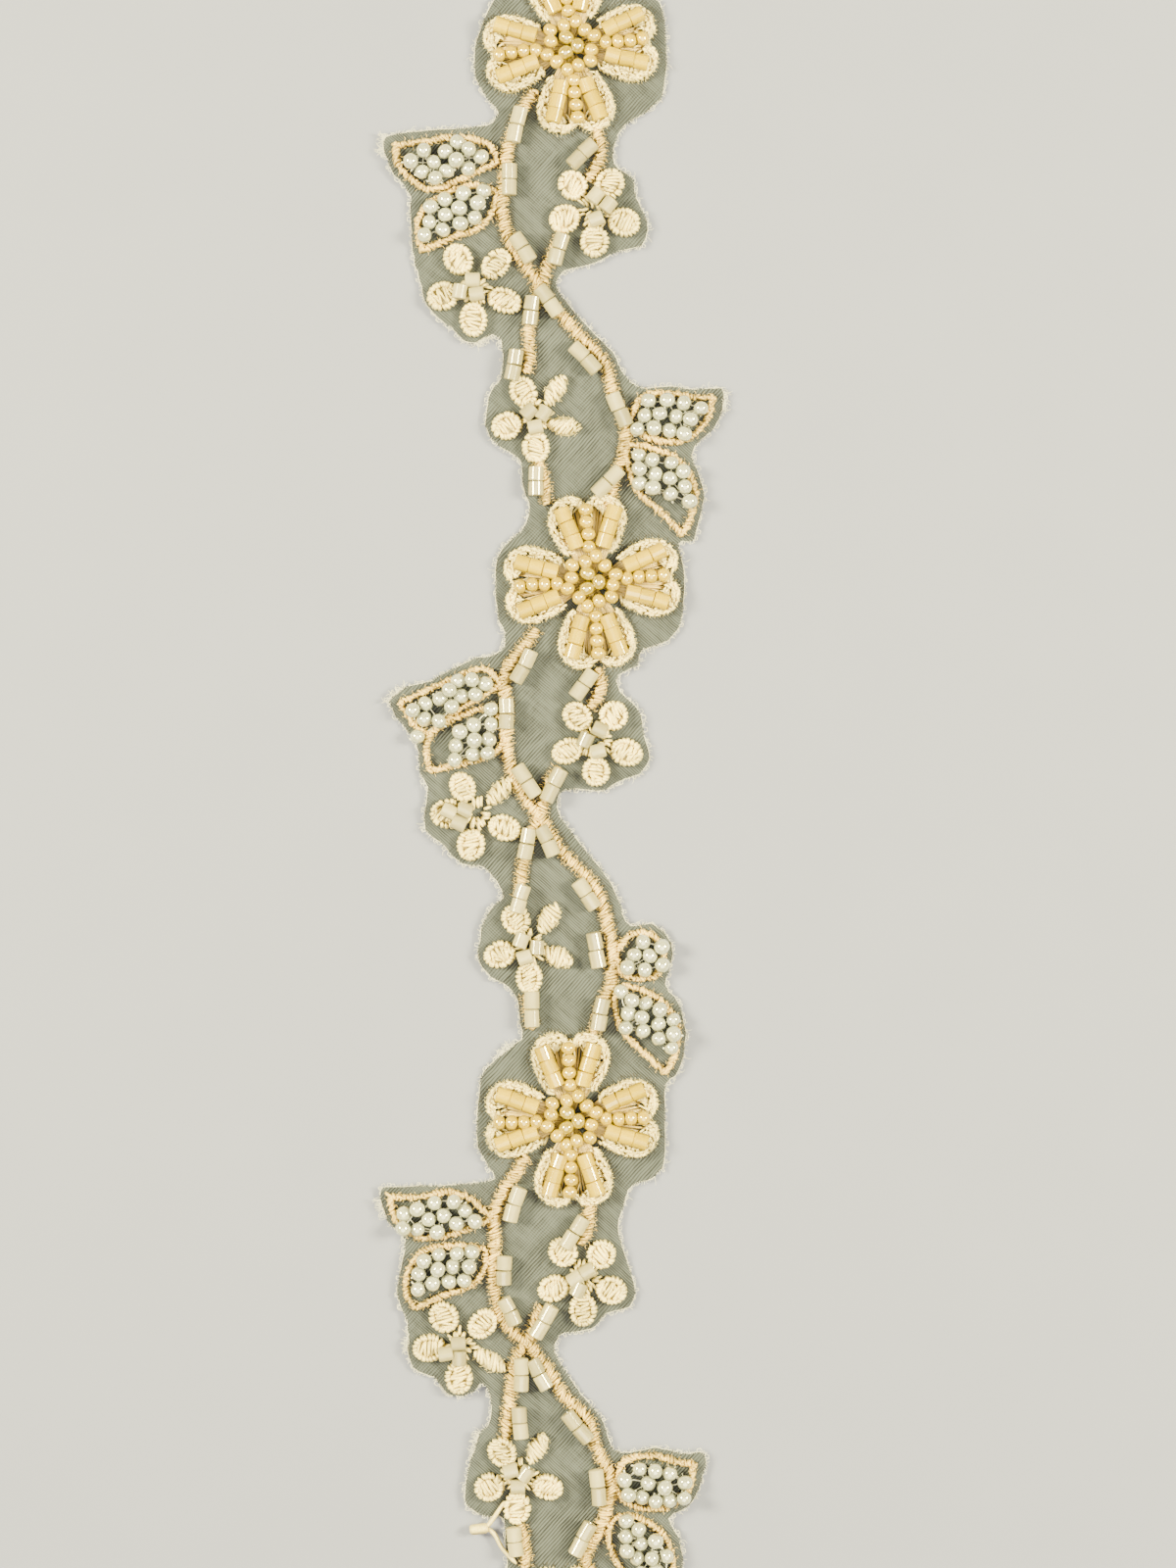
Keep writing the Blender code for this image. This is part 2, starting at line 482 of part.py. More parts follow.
def flower_beads(name, centre):
    """Bead work of a big flower: twelve spokes round its heart."""
    x, y, turn = centre
    pieces = [lambda bm: heart(bm, centre)]
    for quarter in range(4):
        for lean, first, last, beads in SPOKES:
            degrees = turn + quarter * 90 + lean
            start = polar((x, y), first, degrees)
            end = polar((x, y), last, degrees)
            is_round = lean == 0.0
            width = 1.7 if is_round else TUBE_WIDTH
            pieces.append(lambda bm, a=start, b=end, w=width, n=beads, r=is_round:
                          bead_bar(bm, a, b, w, BEADS_FOOT, SPOKE_TOP, n, r))
    return joined(name, pieces, APRICOT, 0.25)


def blossom_outline():
    """Angles, radii and whether a point lies on a petal, round a small flower."""
    points = []
    count = len(BLOSSOM_PETALS)
    for number, middle in enumerate(BLOSSOM_PETALS):
        after = BLOSSOM_PETALS[(number + 1) % count] + (360 if number + 1 == count else 0)
        before = BLOSSOM_PETALS[number - 1] - (360 if number == 0 else 0)
        for share, radius in reversed(HALF_BLOSSOM_PETAL[1:]):
            points.append((middle - share * (middle - before) / 2, radius, True))
        for share, radius in HALF_BLOSSOM_PETAL:
            points.append((middle + share * (after - middle) / 2, radius, True))
        points.append(((middle + after) / 2, BLOSSOM_GAP_RADIUS, False))
    return points


def blossom_satin(name, centre):
    """Five padded satin petals of a small flower."""
    x, y, turn = centre
    outline = blossom_outline()
    rows = ((1.0, SEWN_FOOT, SEWN_FOOT), (1.0, SEWN_FOOT + 0.5, SEWN_FOOT + 0.4),
            (BLOSSOM_CREST, BLOSSOM_TOP, SEWN_FOOT + 0.45), (0.42, SEWN_FOOT + 0.6, SEWN_FOOT + 0.5))
    bm = bmesh.new()
    loops = []
    for size, on_petal, in_gap in rows:
        loops.append([place(polar((x, y), radius * size, degrees + turn), on_petal if petal else in_gap)
                      for degrees, radius, petal in outline])
    loft(bm, loops)
    bmesh.ops.triangulate(bm, faces=bm.faces)
    return finish(bm, name, IVORY, 0.7)


def blossom_tubes(name, centre):
    """Three tube beads in a Y at the middle of a small flower."""
    x, y, turn = centre
    pieces = []
    for degrees in BLOSSOM_TUBE_ANGLES:
        start = polar((x, y), -0.5, degrees + turn)
        end = polar((x, y), 2.9, degrees + turn)
        pieces.append(lambda bm, a=start, b=end:
                      bead_bar(bm, a, b, TUBE_WIDTH, BLOSSOM_TUBES_FOOT, BLOSSOM_TUBES_TOP, 1))
    return joined(name, pieces, OFF_WHITE, 0.3)


def leaf_path(leaf, steps=3):
    """Closed path of a leaf's outline cord, pointed at its tip."""
    base, one_side, tip, other_side = leaf
    out = smooth((base,) + one_side + (tip,), steps)
    back = smooth((tip,) + other_side + (base,), steps)
    return out[:-1] + back[:-1]


def leaf_cord(name, leaf):
    """Twisted thread round a leaf."""
    bm = bmesh.new()
    cord(bm, leaf_path(leaf), LEAF_CORD_WIDTH, LEAF_CORD_HEIGHT, closed=True)
    bmesh.ops.triangulate(bm, faces=bm.faces)
    return finish(bm, name, PEACH, 0.65)


def drawn_in(path, inset):
    """A closed path moved inwards, without the points that would come too close to it."""
    middle = sum(path, Vector((0, 0))) / len(path)
    moved = []
    for point, along in zip(path, headings(path, True)):
        side = Vector((along.y, -along.x))
        if side.dot(middle - point) < 0:
            side = -side
        candidate = point + side * inset
        if all((candidate - other).length > inset - 0.08 for other in path):
            if not moved or (candidate - moved[-1]).length > 0.5:
                moved.append(candidate)
    return moved


def leaf_pearls(name, leaf, pearls):
    """Pearls that fill a leaf, joined at their sides, each with a small flat crown."""
    rim = drawn_in(leaf_path(leaf, 4), LEAF_CORD_WIDTH / 2 + 0.4)
    count = len(rim)
    centres = [Vector(pearl) for pearl in pearls]
    edges = [(i, (i + 1) % count) for i in range(count)]
    rough = delaunay_2d_cdt(rim + centres, edges, [], 1, 1e-6)
    valleys = []
    for face in rough[2]:
        corners = [rough[0][i] for i in face]
        middle = sum(corners, Vector((0, 0))) / 3
        if min((middle - centre).length for centre in centres) > 0.95:
            if all((middle - point).length > 0.5 for point in rim):
                valleys.append(middle)
    crowns = []
    for number, centre in enumerate(centres):
        for corner in range(4):
            crowns.append(Vector(polar(centre, PEARL_FLAT, corner * 90 + number * 37)))
    points = rim + crowns + valleys
    tops = [SEWN_FOOT + 0.7] * count + [PEARL_TOP] * len(crowns) + [PEARL_VALLEY] * len(valleys)
    flat = delaunay_2d_cdt(points, edges, [], 1, 1e-6)
    bm = bmesh.new()
    upper = []
    for point, sources in zip(flat[0], flat[3]):
        upper.append(bm.verts.new(place(point, tops[sources[0]])))
    for face in flat[2]:
        bm.faces.new([upper[i] for i in face])
    rim_top = [upper[i] for i in range(count)]
    rim_foot = [bm.verts.new(place(point, SEWN_FOOT)) for point in rim]
    for i in range(count):
        j = (i + 1) % count
        bm.faces.new((rim_foot[i], rim_foot[j], rim_top[j], rim_top[i]))
    bm.faces.new(rim_foot)
    bmesh.ops.triangulate(bm, faces=bm.faces)
    return finish(bm, name, PEARL_GREY, 0.2)


def tube_pairs(name):
    """Drawing functions for the pairs of tube beads that lie on one cord."""
    pieces = []
    for owner, first, second in TUBE_PAIRS:
        if owner != name:
            continue
        middle = (Vector(first) + Vector(second)) / 2
        reach = Vector(second) - Vector(first)
        pieces.append(lambda bm, a=middle - reach, b=middle + reach:
                      bead_bar(bm, a, b, TUBE_WIDTH, TUBE_FOOT, TUBE_TOP, 2))
    return pieces


def corded(name, routes):
    """Cords that cross or stand alone, with the tube beads that lie on them."""
    pieces = [lambda bm, r=route, s=steps: cord(bm, smooth(r, s), CORD_WIDTH, CORD_HEIGHT)
              for route, steps in routes]
    return joined(name, pieces + tube_pairs(name), PEACH, 0.65)


def build():
    """Model every piece of the trim."""
    for thing in list(bpy.data.objects):
        bpy.data.objects.remove(thing)
    organza_ground()
    for number, centre in FLOWERS.items():
        flower_satin(f"flower_satin_{number}", centre)
        flower_beads(f"flower_beads_{number}", centre)
    for number, centre in BLOSSOMS.items():
        blossom_satin(f"blossom_satin_{number}", centre)
        blossom_tubes(f"blossom_tubes_{number}", centre)
    for number, leaf in LEAVES.items():
        leaf_cord(f"leaf_cord_{number}", leaf)
        leaf_pearls(f"leaf_pearls_{number}", leaf, PEARLS[number])
    for number, route in MAIN_CORDS.items():
        corded(f"vine_{number}", ((route, 1), (SIDE_CORDS[number], 1)))
    for number, route in SHORT_CORDS.items():
        corded(f"short_cord_{number}", ((route, 1),))


build()
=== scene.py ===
"""Beaded vine trim on sheer organza: the finished look, built round its solids.

Laid out as an add-on and run as a script. Places in the tables are millimetres of the
design; put() takes them to the frame, whose origin is the middle of the flat underside.
"""

import itertools
import math
import random

import bmesh
import bpy
from bpy.props import FloatProperty, FloatVectorProperty, PointerProperty
from mathutils import Matrix, Vector
from mathutils.geometry import delaunay_2d_cdt


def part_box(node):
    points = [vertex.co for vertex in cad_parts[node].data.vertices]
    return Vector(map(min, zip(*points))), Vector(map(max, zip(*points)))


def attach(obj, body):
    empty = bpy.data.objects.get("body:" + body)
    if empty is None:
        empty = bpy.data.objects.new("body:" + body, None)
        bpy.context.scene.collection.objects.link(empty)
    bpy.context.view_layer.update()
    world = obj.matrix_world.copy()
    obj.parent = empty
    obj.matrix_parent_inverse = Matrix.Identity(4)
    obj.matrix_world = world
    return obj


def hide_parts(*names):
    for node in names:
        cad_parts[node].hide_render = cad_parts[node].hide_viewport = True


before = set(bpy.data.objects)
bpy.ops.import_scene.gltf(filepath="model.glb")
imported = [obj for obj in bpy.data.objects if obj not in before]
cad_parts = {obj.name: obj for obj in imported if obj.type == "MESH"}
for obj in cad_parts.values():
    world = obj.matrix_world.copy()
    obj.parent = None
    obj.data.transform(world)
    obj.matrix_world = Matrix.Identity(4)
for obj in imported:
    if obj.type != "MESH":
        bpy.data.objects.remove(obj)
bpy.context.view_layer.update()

bl_info = {
    "name": "Beaded Vine Trim",
    "version": (1, 0, 0),
    "blender": (4, 5, 0),
    "location": "3D View > Sidebar > Trim",
    "description": "Stitches, beads and sheer ground of a beaded vine trim",
    "category": "Object",
}

MM = 0.001
SEED = 11                                               # each group of pieces adds its own
FIBRE_GRAIN = 4200.0                                    # fineness of the fibres in a thread
SHARP_EDGE = math.radians(50)                           # above it a bead's edge stays crisp
SHEET_SPACING = 2.4                                     # between the points of the cloth

# Big flowers: centre x, centre y, turn in degrees
FLOWERS = {
    "1": (3.1, 104.4, 5.0),
    "2": (6.1, 28.6, 4.0),
    "3": (3.2, -47.6, 1.0),
    "4": (2.5, -123.3, 3.0),
}
# Half a petal of a big flower, from the middle of its notch: angle in degrees, radius
HALF_PETAL = ((0, 11.3), (6, 12.2), (13, 12.6), (21, 12.3), (29, 11.2), (35, 9.4), (39, 7.0),
              (42, 5.2))
# Bead spokes of one petal: degrees off the petal's middle, radii of the bead middles
TUBE_SPOKES = ((-20.0, (6.1, 8.15, 10.2)), (20.0, (6.1, 8.15, 10.2)))
ROUND_SPOKE = (4.95, 6.7, 8.45, 10.2)
HEART_RING = (3.25, 12)                                 # radius, beads
HEART_MIDDLE = ((-0.6, 1.1), (0.95, -0.1), (-0.7, -1.05))

ROUND_BEAD = (2.12, 1.85)                               # diameter, length along its hole
FLOWER_TUBE = 1.06                                      # a big flower's tubes, against the vines'
BLOSSOM_TUBE = 0.98                                     # a small flower's tubes, likewise
TUBE_SIDES = 8
SPOKE_TUBE_HEIGHT, SPOKE_ROUND_HEIGHT = 1.8, 1.75       # bead middles above the cloth
RING_HEIGHT, HEART_HEIGHT = 1.95, 2.2
BLOSSOM_TUBE_HEIGHT, VINE_TUBE_HEIGHT = 1.78, 1.4

# Small flowers: centre x, centre y
BLOSSOMS = {
    "a1": (6.5, 81.3),
    "b1": (-10.7, 70.3),
    "c1": (-1.9, 51.9),
    "a2": (6.7, 6.1),
    "b2": (-10.5, -4.4),
    "c2": (-2.8, -23.1),
    "a3": (4.9, -70.1),
    "b3": (-12.7, -79.8),
    "c3": (-4.3, -98.3),
}
# Petals of each small flower: direction in degrees, radius of its middle, half length,
# half width
BLOSSOM_PETALS = {
    "a1": ((131, 4.7, 2.2, 1.95), (60, 4.3, 2.3, 2.05), (-22, 4.5, 2.35, 2.0),
           (-90, 4.4, 2.3, 2.0), (196, 4.4, 2.2, 2.0)),
    "b1": ((118, 4.6, 2.3, 2.0), (46, 4.7, 2.5, 1.75), (-22, 4.8, 2.6, 1.7),
           (-90, 4.5, 2.5, 1.9), (195, 4.5, 2.25, 2.0)),
    "c1": ((115, 4.1, 2.3, 1.8), (54, 4.8, 2.5, 1.5), (-16, 4.3, 2.3, 1.65),
           (-89, 4.2, 2.3, 1.9), (196, 4.2, 2.2, 1.9)),
    "a2": ((128, 4.3, 2.3, 1.9), (55, 4.3, 2.1, 2.0), (-21, 4.6, 2.4, 1.9),
           (-90, 4.4, 2.1, 1.9), (200, 4.3, 2.35, 1.7)),
    "b2": ((114, 4.3, 2.2, 1.7), (43, 4.9, 2.5, 1.5), (-24, 4.6, 2.4, 1.75),
           (-97, 4.3, 2.3, 1.95), (178, 3.7, 2.7, 2.1)),
    "c2": ((116, 4.3, 2.2, 1.95), (55, 4.9, 2.4, 1.6), (-20, 4.3, 2.3, 1.65),
           (-90, 4.4, 2.35, 1.8), (195, 4.3, 2.3, 1.85)),
    "a3": ((128, 4.7, 2.2, 1.95), (53, 4.2, 2.1, 2.0), (-24, 4.3, 2.25, 1.95),
           (-91, 4.5, 2.45, 1.9), (199, 4.5, 2.3, 1.8)),
    "b3": ((118, 4.7, 2.3, 2.0), (44, 4.6, 2.4, 1.8), (-25, 4.8, 2.7, 1.5),
           (-91, 4.4, 2.4, 1.9), (183, 4.3, 2.35, 1.9)),
    "c3": ((124, 4.2, 2.2, 1.9), (56, 4.8, 2.4, 1.5), (-20, 4.3, 2.3, 1.7),
           (-93, 4.4, 2.4, 1.9), (199, 4.4, 2.1, 1.95)),
}
PETAL_DRAW = 0.95                                       # a petal's stitches draw it in a little
SLIM_PETAL = 1.68                                       # half width under which no rim is sewn
# Tube beads of each small flower, from its centre: x, y, heading in degrees
BLOSSOM_TUBES = {
    "a1": ((0.1, 1.9, 55), (1.9, 0.6, 50), (0.2, -1.4, 20)),
    "b1": ((-0.1, 0.95, 0), (-1.9, -0.7, 80), (0.5, -1.0, 8)),
    "c1": ((-0.9, 0.7, 40), (1.1, 0.5, 60), (0.0, -1.4, 10)),
    "a2": ((0.5, 1.5, -25), (-1.5, 0.1, 62), (0.3, -1.5, 15)),
    "b2": ((-3.6, 0.5, -27), (-1.4, 0.7, -25), (-2.2, -1.2, -25)),
    "c2": ((-1.1, 0.9, 70), (1.1, -0.1, 85), (-0.6, -1.5, 20)),
    "a3": ((-1.2, 0.1, 35), (0.6, 1.1, 30), (-0.7, -1.5, 65)),
    "b3": ((-1.9, -0.9, 10), (-0.1, 0.5, 2), (0.0, -1.5, 88)),
    "c3": ((-1.1, 1.0, 15), (1.0, 0.6, 55), (-0.1, -1.2, 0)),
}

# Leaves: base, one side, tip, other side
LEAVES = {
    "l1_upper": ((-7.2, 88.2), ((-8.8, 90.8), (-13.0, 91.7), (-17.5, 91.1)), (-21.9, 90.5),
                 ((-20.8, 87.0), (-16.9, 84.3), (-12.0, 86.0))),
    "l1_lower": ((-7.3, 84.0), ((-10.3, 84.9), (-14.4, 83.8), (-18.0, 81.1), (-18.5, 78.0)),
                 (-17.9, 75.6), ((-13.2, 77.7), (-10.3, 78.6), (-8.2, 80.8))),
    "r1_upper": ((11.4, 51.2), ((13.2, 54.8), (17.0, 55.3), (21.0, 54.7)), (23.3, 54.9),
                 ((22.4, 51.6), (19.2, 48.7), (14.5, 48.9))),
    "r1_lower": ((10.9, 48.2), ((14.0, 47.7), (18.3, 46.0), (20.7, 42.0), (20.4, 38.6)),
                 (19.0, 35.3), ((16.2, 38.2), (12.8, 41.3), (11.3, 44.6))),
    "l2_upper": ((-6.8, 14.2), ((-9.4, 16.3), (-13.5, 14.9), (-18.0, 12.9)), (-21.1, 11.5),
                 ((-19.3, 8.7), (-17.0, 7.1), (-13.0, 10.4), (-9.7, 12.2))),
    "l2_lower": ((-6.4, 8.8), ((-9.0, 10.6), (-13.0, 9.4), (-16.6, 7.2), (-17.4, 4.4)),
                 (-16.8, 1.8), ((-12.5, 2.8), (-8.8, 3.8), (-6.8, 5.4))),
    "r2_upper": ((9.4, -24.2), ((11.2, -21.7), (13.4, -21.1), (15.2, -22.0)), (16.3, -24.2),
                 ((15.2, -27.2), (12.3, -27.5), (10.2, -26.7))),
    "r2_lower": ((9.4, -28.9), ((12.0, -28.9), (16.0, -30.8), (18.3, -34.7), (17.8, -38.6)),
                 (16.5, -41.0), ((13.4, -38.1), (10.4, -35.0), (9.4, -31.6))),
    "l3_upper": ((-8.0, -61.6), ((-11.2, -58.9), (-14.6, -57.9), (-18.6, -58.7)),
                 (-22.6, -58.5), ((-21.6, -62.0), (-18.4, -64.3), (-13.4, -63.8))),
    "l3_lower": ((-8.9, -66.0), ((-13.0, -65.5), (-17.6, -66.2), (-19.9, -69.0),
                                 (-20.2, -72.4)), (-19.0, -74.4),
                 ((-14.8, -72.5), (-11.0, -71.1), (-9.2, -68.8))),
    "r3_upper": ((9.3, -99.6), ((10.6, -96.2), (14.4, -95.3), (18.4, -96.2)), (20.6, -96.4),
                 ((19.6, -100.4), (16.0, -102.8), (11.4, -102.2))),
    "r3_lower": ((9.3, -104.2), ((12.2, -103.9), (16.2, -106.4), (17.6, -110.4),
                                 (17.0, -114.2)), (15.6, -116.7),
                 ((12.4, -114.0), (9.4, -110.0), (8.4, -106.4))),
}

PEARL_SPREAD = 1.88                                     # between pearls, seen from above
PEARL_GAP = 2.2                                         # between pearls, straight through
PEARL_HEIGHTS = (1.15, 2.4)                             # lowest and highest middle of a pearl
# Pearls of each leaf, x and y
PEARLS = {
    "l1_upper": ((-12.9, 90.6), (-17.5, 89.4), (-14.6, 89.6), (-11.5, 89.9), (-9.7, 88.9),
                 (-19.2, 87.8), (-16.3, 88.3), (-13.1, 88.1), (-11.5, 87.2), (-17.8, 86.7),
                 (-14.6, 86.9), (-16.4, 86.0)),
    "l1_lower": ((-9.4, 83.6), (-12.2, 83.2), (-14.7, 82.2), (-10.0, 82.1), (-16.8, 81.3),
                 (-12.6, 81.5), (-14.7, 80.7), (-10.4, 80.6), (-16.9, 79.7), (-12.5, 79.6),
                 (-15.0, 79.0), (-17.5, 77.9)),
    "r1_upper": ((14.0, 53.8), (16.5, 53.8), (18.9, 53.5), (21.0, 52.5), (13.5, 52.1),
                 (15.8, 52.5), (18.1, 51.9), (20.3, 51.7), (12.8, 50.7), (15.0, 50.6),
                 (17.4, 50.4), (19.3, 50.0)),
    "r1_lower": ((12.8, 46.3), (14.7, 45.4), (17.4, 45.4), (12.8, 44.4), (15.0, 44.0),
                 (19.0, 44.0), (12.9, 42.8), (14.7, 42.1), (17.1, 42.9), (19.3, 42.1),
                 (17.2, 41.4), (19.9, 40.1)),
    "l2_upper": ((-12.5, 14.4), (-11.0, 14.6), (-9.2, 14.2), (-14.2, 12.9), (-12.4, 12.6),
                 (-10.7, 12.6), (-16.0, 11.8), (-13.8, 11.0), (-16.9, 11.3), (-18.6, 10.4),
                 (-17.6, 9.6), (-15.8, 8.9), (-18.6, 6.7)),
    "l2_lower": ((-8.2, 9.6), (-10.7, 8.2), (-8.3, 8.2), (-12.6, 7.1), (-8.5, 6.7),
                 (-10.4, 6.0), (-13.1, 5.4), (-8.6, 5.0), (-10.7, 4.3), (-13.3, 3.6)),
    "r2_upper": ((13.5, -23.2), (16.0, -23.1), (12.2, -24.4), (11.4, -25.6), (15.6, -25.3),
                 (13.6, -26.3), (14.3, -24.2)),
    "r2_lower": ((10.6, -29.9), (11.3, -31.0), (11.3, -32.4), (11.0, -34.0), (13.6, -31.3),
                 (13.2, -33.2), (13.3, -34.7), (15.7, -32.2), (15.6, -34.2), (15.6, -35.7),
                 (17.6, -33.8), (17.6, -35.4), (17.4, -37.1)),
    "l3_upper": ((-20.4, -61.0), (-18.3, -60.7), (-16.0, -59.7), (-13.2, -59.4), (-11.9, -60.6),
                 (-17.2, -61.7), (-14.9, -61.1), (-10.7, -61.7), (-13.3, -62.1), (-20.3, -62.9),
                 (-18.9, -63.1), (-16.1, -63.1)),
    "l3_lower": ((-15.6, -66.9), (-13.1, -66.8), (-11.0, -66.7), (-17.8, -67.9), (-18.3, -69.4),
                 (-15.8, -68.9), (-13.6, -68.5), (-11.3, -68.3), (-18.5, -71.3), (-16.3, -70.4),
                 (-14.0, -70.1), (-11.9, -70.1)),
    "r3_upper": ((12.9, -97.1), (15.0, -97.4), (17.1, -97.8), (10.8, -98.9), (14.0, -99.3),
                 (16.5, -99.6), (19.3, -99.0), (11.4, -100.4), (13.3, -100.8), (15.0, -101.5),
                 (17.2, -101.4), (19.0, -101.1)),
    "r3_lower": ((11.1, -104.9), (12.5, -105.6), (11.1, -106.5), (11.1, -108.3), (13.2, -107.6),
                 (15.0, -107.2), (12.5, -109.7), (14.6, -109.7), (16.7, -109.4), (13.2, -111.7),
                 (15.3, -111.7), (16.4, -112.8)),
}

# Main cord of each repeat, from one big flower to the next
MAIN_CORDS = {
    "1": ((-1.9, 98.3), (-2.8, 97.2), (-4.4, 94.4), (-5.8, 90.3), (-6.3, 85.4),
          (-6.7, 82.6), (-6.4, 79.9), (-5.6, 77.1), (-4.2, 74.7), (-2.1, 71.8),
          (-1.1, 70.4), (0.0, 68.3), (2.5, 65.7),
          (4.4, 63.5), (6.9, 61.1), (8.3, 58.8), (9.0, 55.8), (10.0, 53.1), (11.0, 50.4),
          (10.8, 48.5), (10.4, 45.6), (9.4, 43.8), (8.6, 40.3), (8.3, 39.0)),
    "2": ((-1.7, 22.0), (-2.5, 20.8), (-4.0, 18.9), (-5.6, 16.7), (-6.4, 14.3),
          (-6.1, 12.2), (-6.0, 9.7), (-6.0, 6.1), (-5.7, 3.2), (-4.0, -1.0),
          (-2.6, -3.2), (-1.3, -4.7), (0.3, -7.2),
          (1.9, -9.7), (4.3, -12.1), (6.3, -14.3), (7.5, -16.9), (8.2, -19.4), (8.9, -22.9),
          (9.0, -25.7), (8.8, -28.6), (7.9, -30.3), (6.5, -34.7), (6.3, -36.0)),
    "3": ((-3.1, -52.7), (-3.9, -53.9), (-5.0, -55.8), (-6.4, -57.6), (-7.1, -59.3), (-7.6, -60.7),
          (-7.8, -62.6), (-7.6, -64.7), (-7.9, -67.5), (-7.9, -70.4), (-7.5, -73.3),
          (-6.4, -76.3), (-4.6, -78.3), (-3.1, -79.3), (-1.7, -81.0), (0.4, -83.9),
          (1.8, -86.5), (3.6, -88.3), (5.7, -90.4), (6.5, -93.6), (7.5, -95.7), (8.6, -98.1),
          (8.9, -100.4), (8.1, -103.1), (7.5, -105.0), (6.3, -107.4), (5.1, -109.7),
          (5.6, -111.0), (5.9, -112.3)),
}
# Side cord of each repeat, which crosses the main one
SIDE_CORDS = {
    "1": ((2.1, 78.9), (1.4, 77.1), (0.3, 74.7), (-0.6, 72.2), (-1.2, 70.4), (-1.8, 69.0),
          (-2.8, 65.3), (-2.9, 63.8), (-2.8, 60.6), (-3.2, 58.2)),
    "2": ((1.4, 2.4), (0.0, 0.0), (-0.7, -2.1), (-1.3, -4.7), (-2.1, -6.3), (-3.1, -8.6),
          (-3.8, -12.1), (-4.0, -14.0), (-4.3, -16.4)),
    "3": ((-1.0, -74.0), (-1.7, -75.7), (-2.4, -77.8), (-3.1, -79.3), (-4.2, -80.6),
          (-4.9, -82.2), (-5.3, -85.7), (-5.7, -88.6), (-6.0, -91.5), (-6.2, -93.0)),
}
# Short cords: from a big flower to the small flower below it, and on to the next big one
SHORT_CORDS = {
    "a1": ((6.7, 92.8), (7.2, 91.0), (7.4, 88.9), (6.3, 86.8), (5.6, 85.4)),
    "a2": ((6.9, 16.4), (7.4, 13.9), (6.7, 11.8), (5.8, 10.8)),
    "a3": ((5.6, -58.6), (5.7, -61.1), (5.6, -63.2), (4.4, -65.3)),
    "c1": ((-1.7, 45.8), (-0.7, 43.1), (-0.4, 41.0), (-0.3, 39.6)),
    "c2": ((-3.2, -29.9), (-2.8, -32.6), (-2.1, -34.7)),
    "c3": ((-4.0, -105.0), (-3.5, -107.8), (-3.2, -111.1)),
}
# Pairs of tube beads: cord that they lie on, and the middles of the two tubes
TUBE_PAIRS = (
    ("vine_1", (-4.2, 94.7), (-4.9, 91.9)), ("vine_1", (-5.6, 86.7), (-5.6, 84.4)),
    ("vine_1", (-4.3, 76.8), (-3.1, 74.9)), ("vine_1", (-0.7, 69.4), (0.7, 67.4)),
    ("vine_1", (4.2, 61.3), (6.1, 59.3)), ("vine_1", (9.4, 54.2), (10.6, 51.7)),
    ("vine_1", (9.4, 43.8), (7.4, 41.7)), ("vine_1", (1.7, 76.8), (1.0, 74.6)),
    ("vine_1", (-2.4, 67.9), (-2.6, 66.1)), ("vine_1", (-4.7, 60.4), (-5.1, 58.2)),
    ("vine_2", (-2.9, 17.8), (-4.2, 15.4)), ("vine_2", (-6.0, 11.0), (-6.0, 8.8)),
    ("vine_2", (-3.9, 1.5), (-2.4, -0.8)), ("vine_2", (-0.7, -7.1), (0.3, -9.2)),
    ("vine_2", (4.7, -14.7), (6.0, -16.7)), ("vine_2", (6.5, -22.2), (6.9, -25.0)),
    ("vine_2", (7.5, -31.5), (7.1, -33.8)), ("vine_2", (1.3, 1.1), (0.0, -1.5)),
    ("vine_2", (-2.9, -7.4), (-3.3, -9.6)), ("vine_2", (-3.8, -15.4), (-4.3, -17.2)),
    ("vine_3", (-4.4, -58.2), (-5.3, -61.0)), ("vine_3", (-6.3, -67.9), (-6.4, -70.0)),
    ("vine_3", (-6.0, -73.8), (-5.1, -75.7)), ("vine_3", (-1.9, -82.6), (-0.8, -84.7)),
    ("vine_3", (3.2, -90.1), (5.0, -92.2)), ("vine_3", (6.8, -98.3), (7.1, -101.0)),
    ("vine_3", (5.4, -105.8), (4.2, -108.2)), ("vine_3", (0.0, -74.9), (-1.4, -77.4)),
    ("vine_3", (-3.9, -82.5), (-3.9, -84.9)), ("vine_3", (-4.2, -89.4), (-4.0, -91.7)),
    ("short_cord_a1", (5.6, 90.0), (3.9, 88.3)), ("short_cord_a2", (5.7, 15.0), (4.3, 13.1)),
    ("short_cord_a3", (4.4, -62.5), (2.9, -64.6)), ("short_cord_c1", (-1.8, 43.9), (-1.8, 41.8)),
    ("short_cord_c2", (-2.4, -30.6), (-2.4, -33.3)),
    ("short_cord_c3", (-4.9, -106.4), (-4.7, -108.3)),
)

# Loose forked thread beside the last small flower
LOOSE_THREAD = (((-6.2, -101.8), (-7.2, -103.2), (-8.3, -104.8), (-9.0, -105.4)),
                ((-8.6, -105.6), (-7.6, -106.6), (-6.6, -108.4), (-4.6, -110.6)))
LOOSE_BLOB = ((-11.2, -105.8), (-8.6, -105.5))

# Places where the cut edge has frayed into tufts
FRAYED_SPOTS = ((-23.3, 90.8), (24.5, 54.0), (-6.5, -37.5), (-19.9, -79.1), (-10.3, -93.0),
                (-22.6, 14.5), (-9.2, 63.0), (-23.2, -60.0))

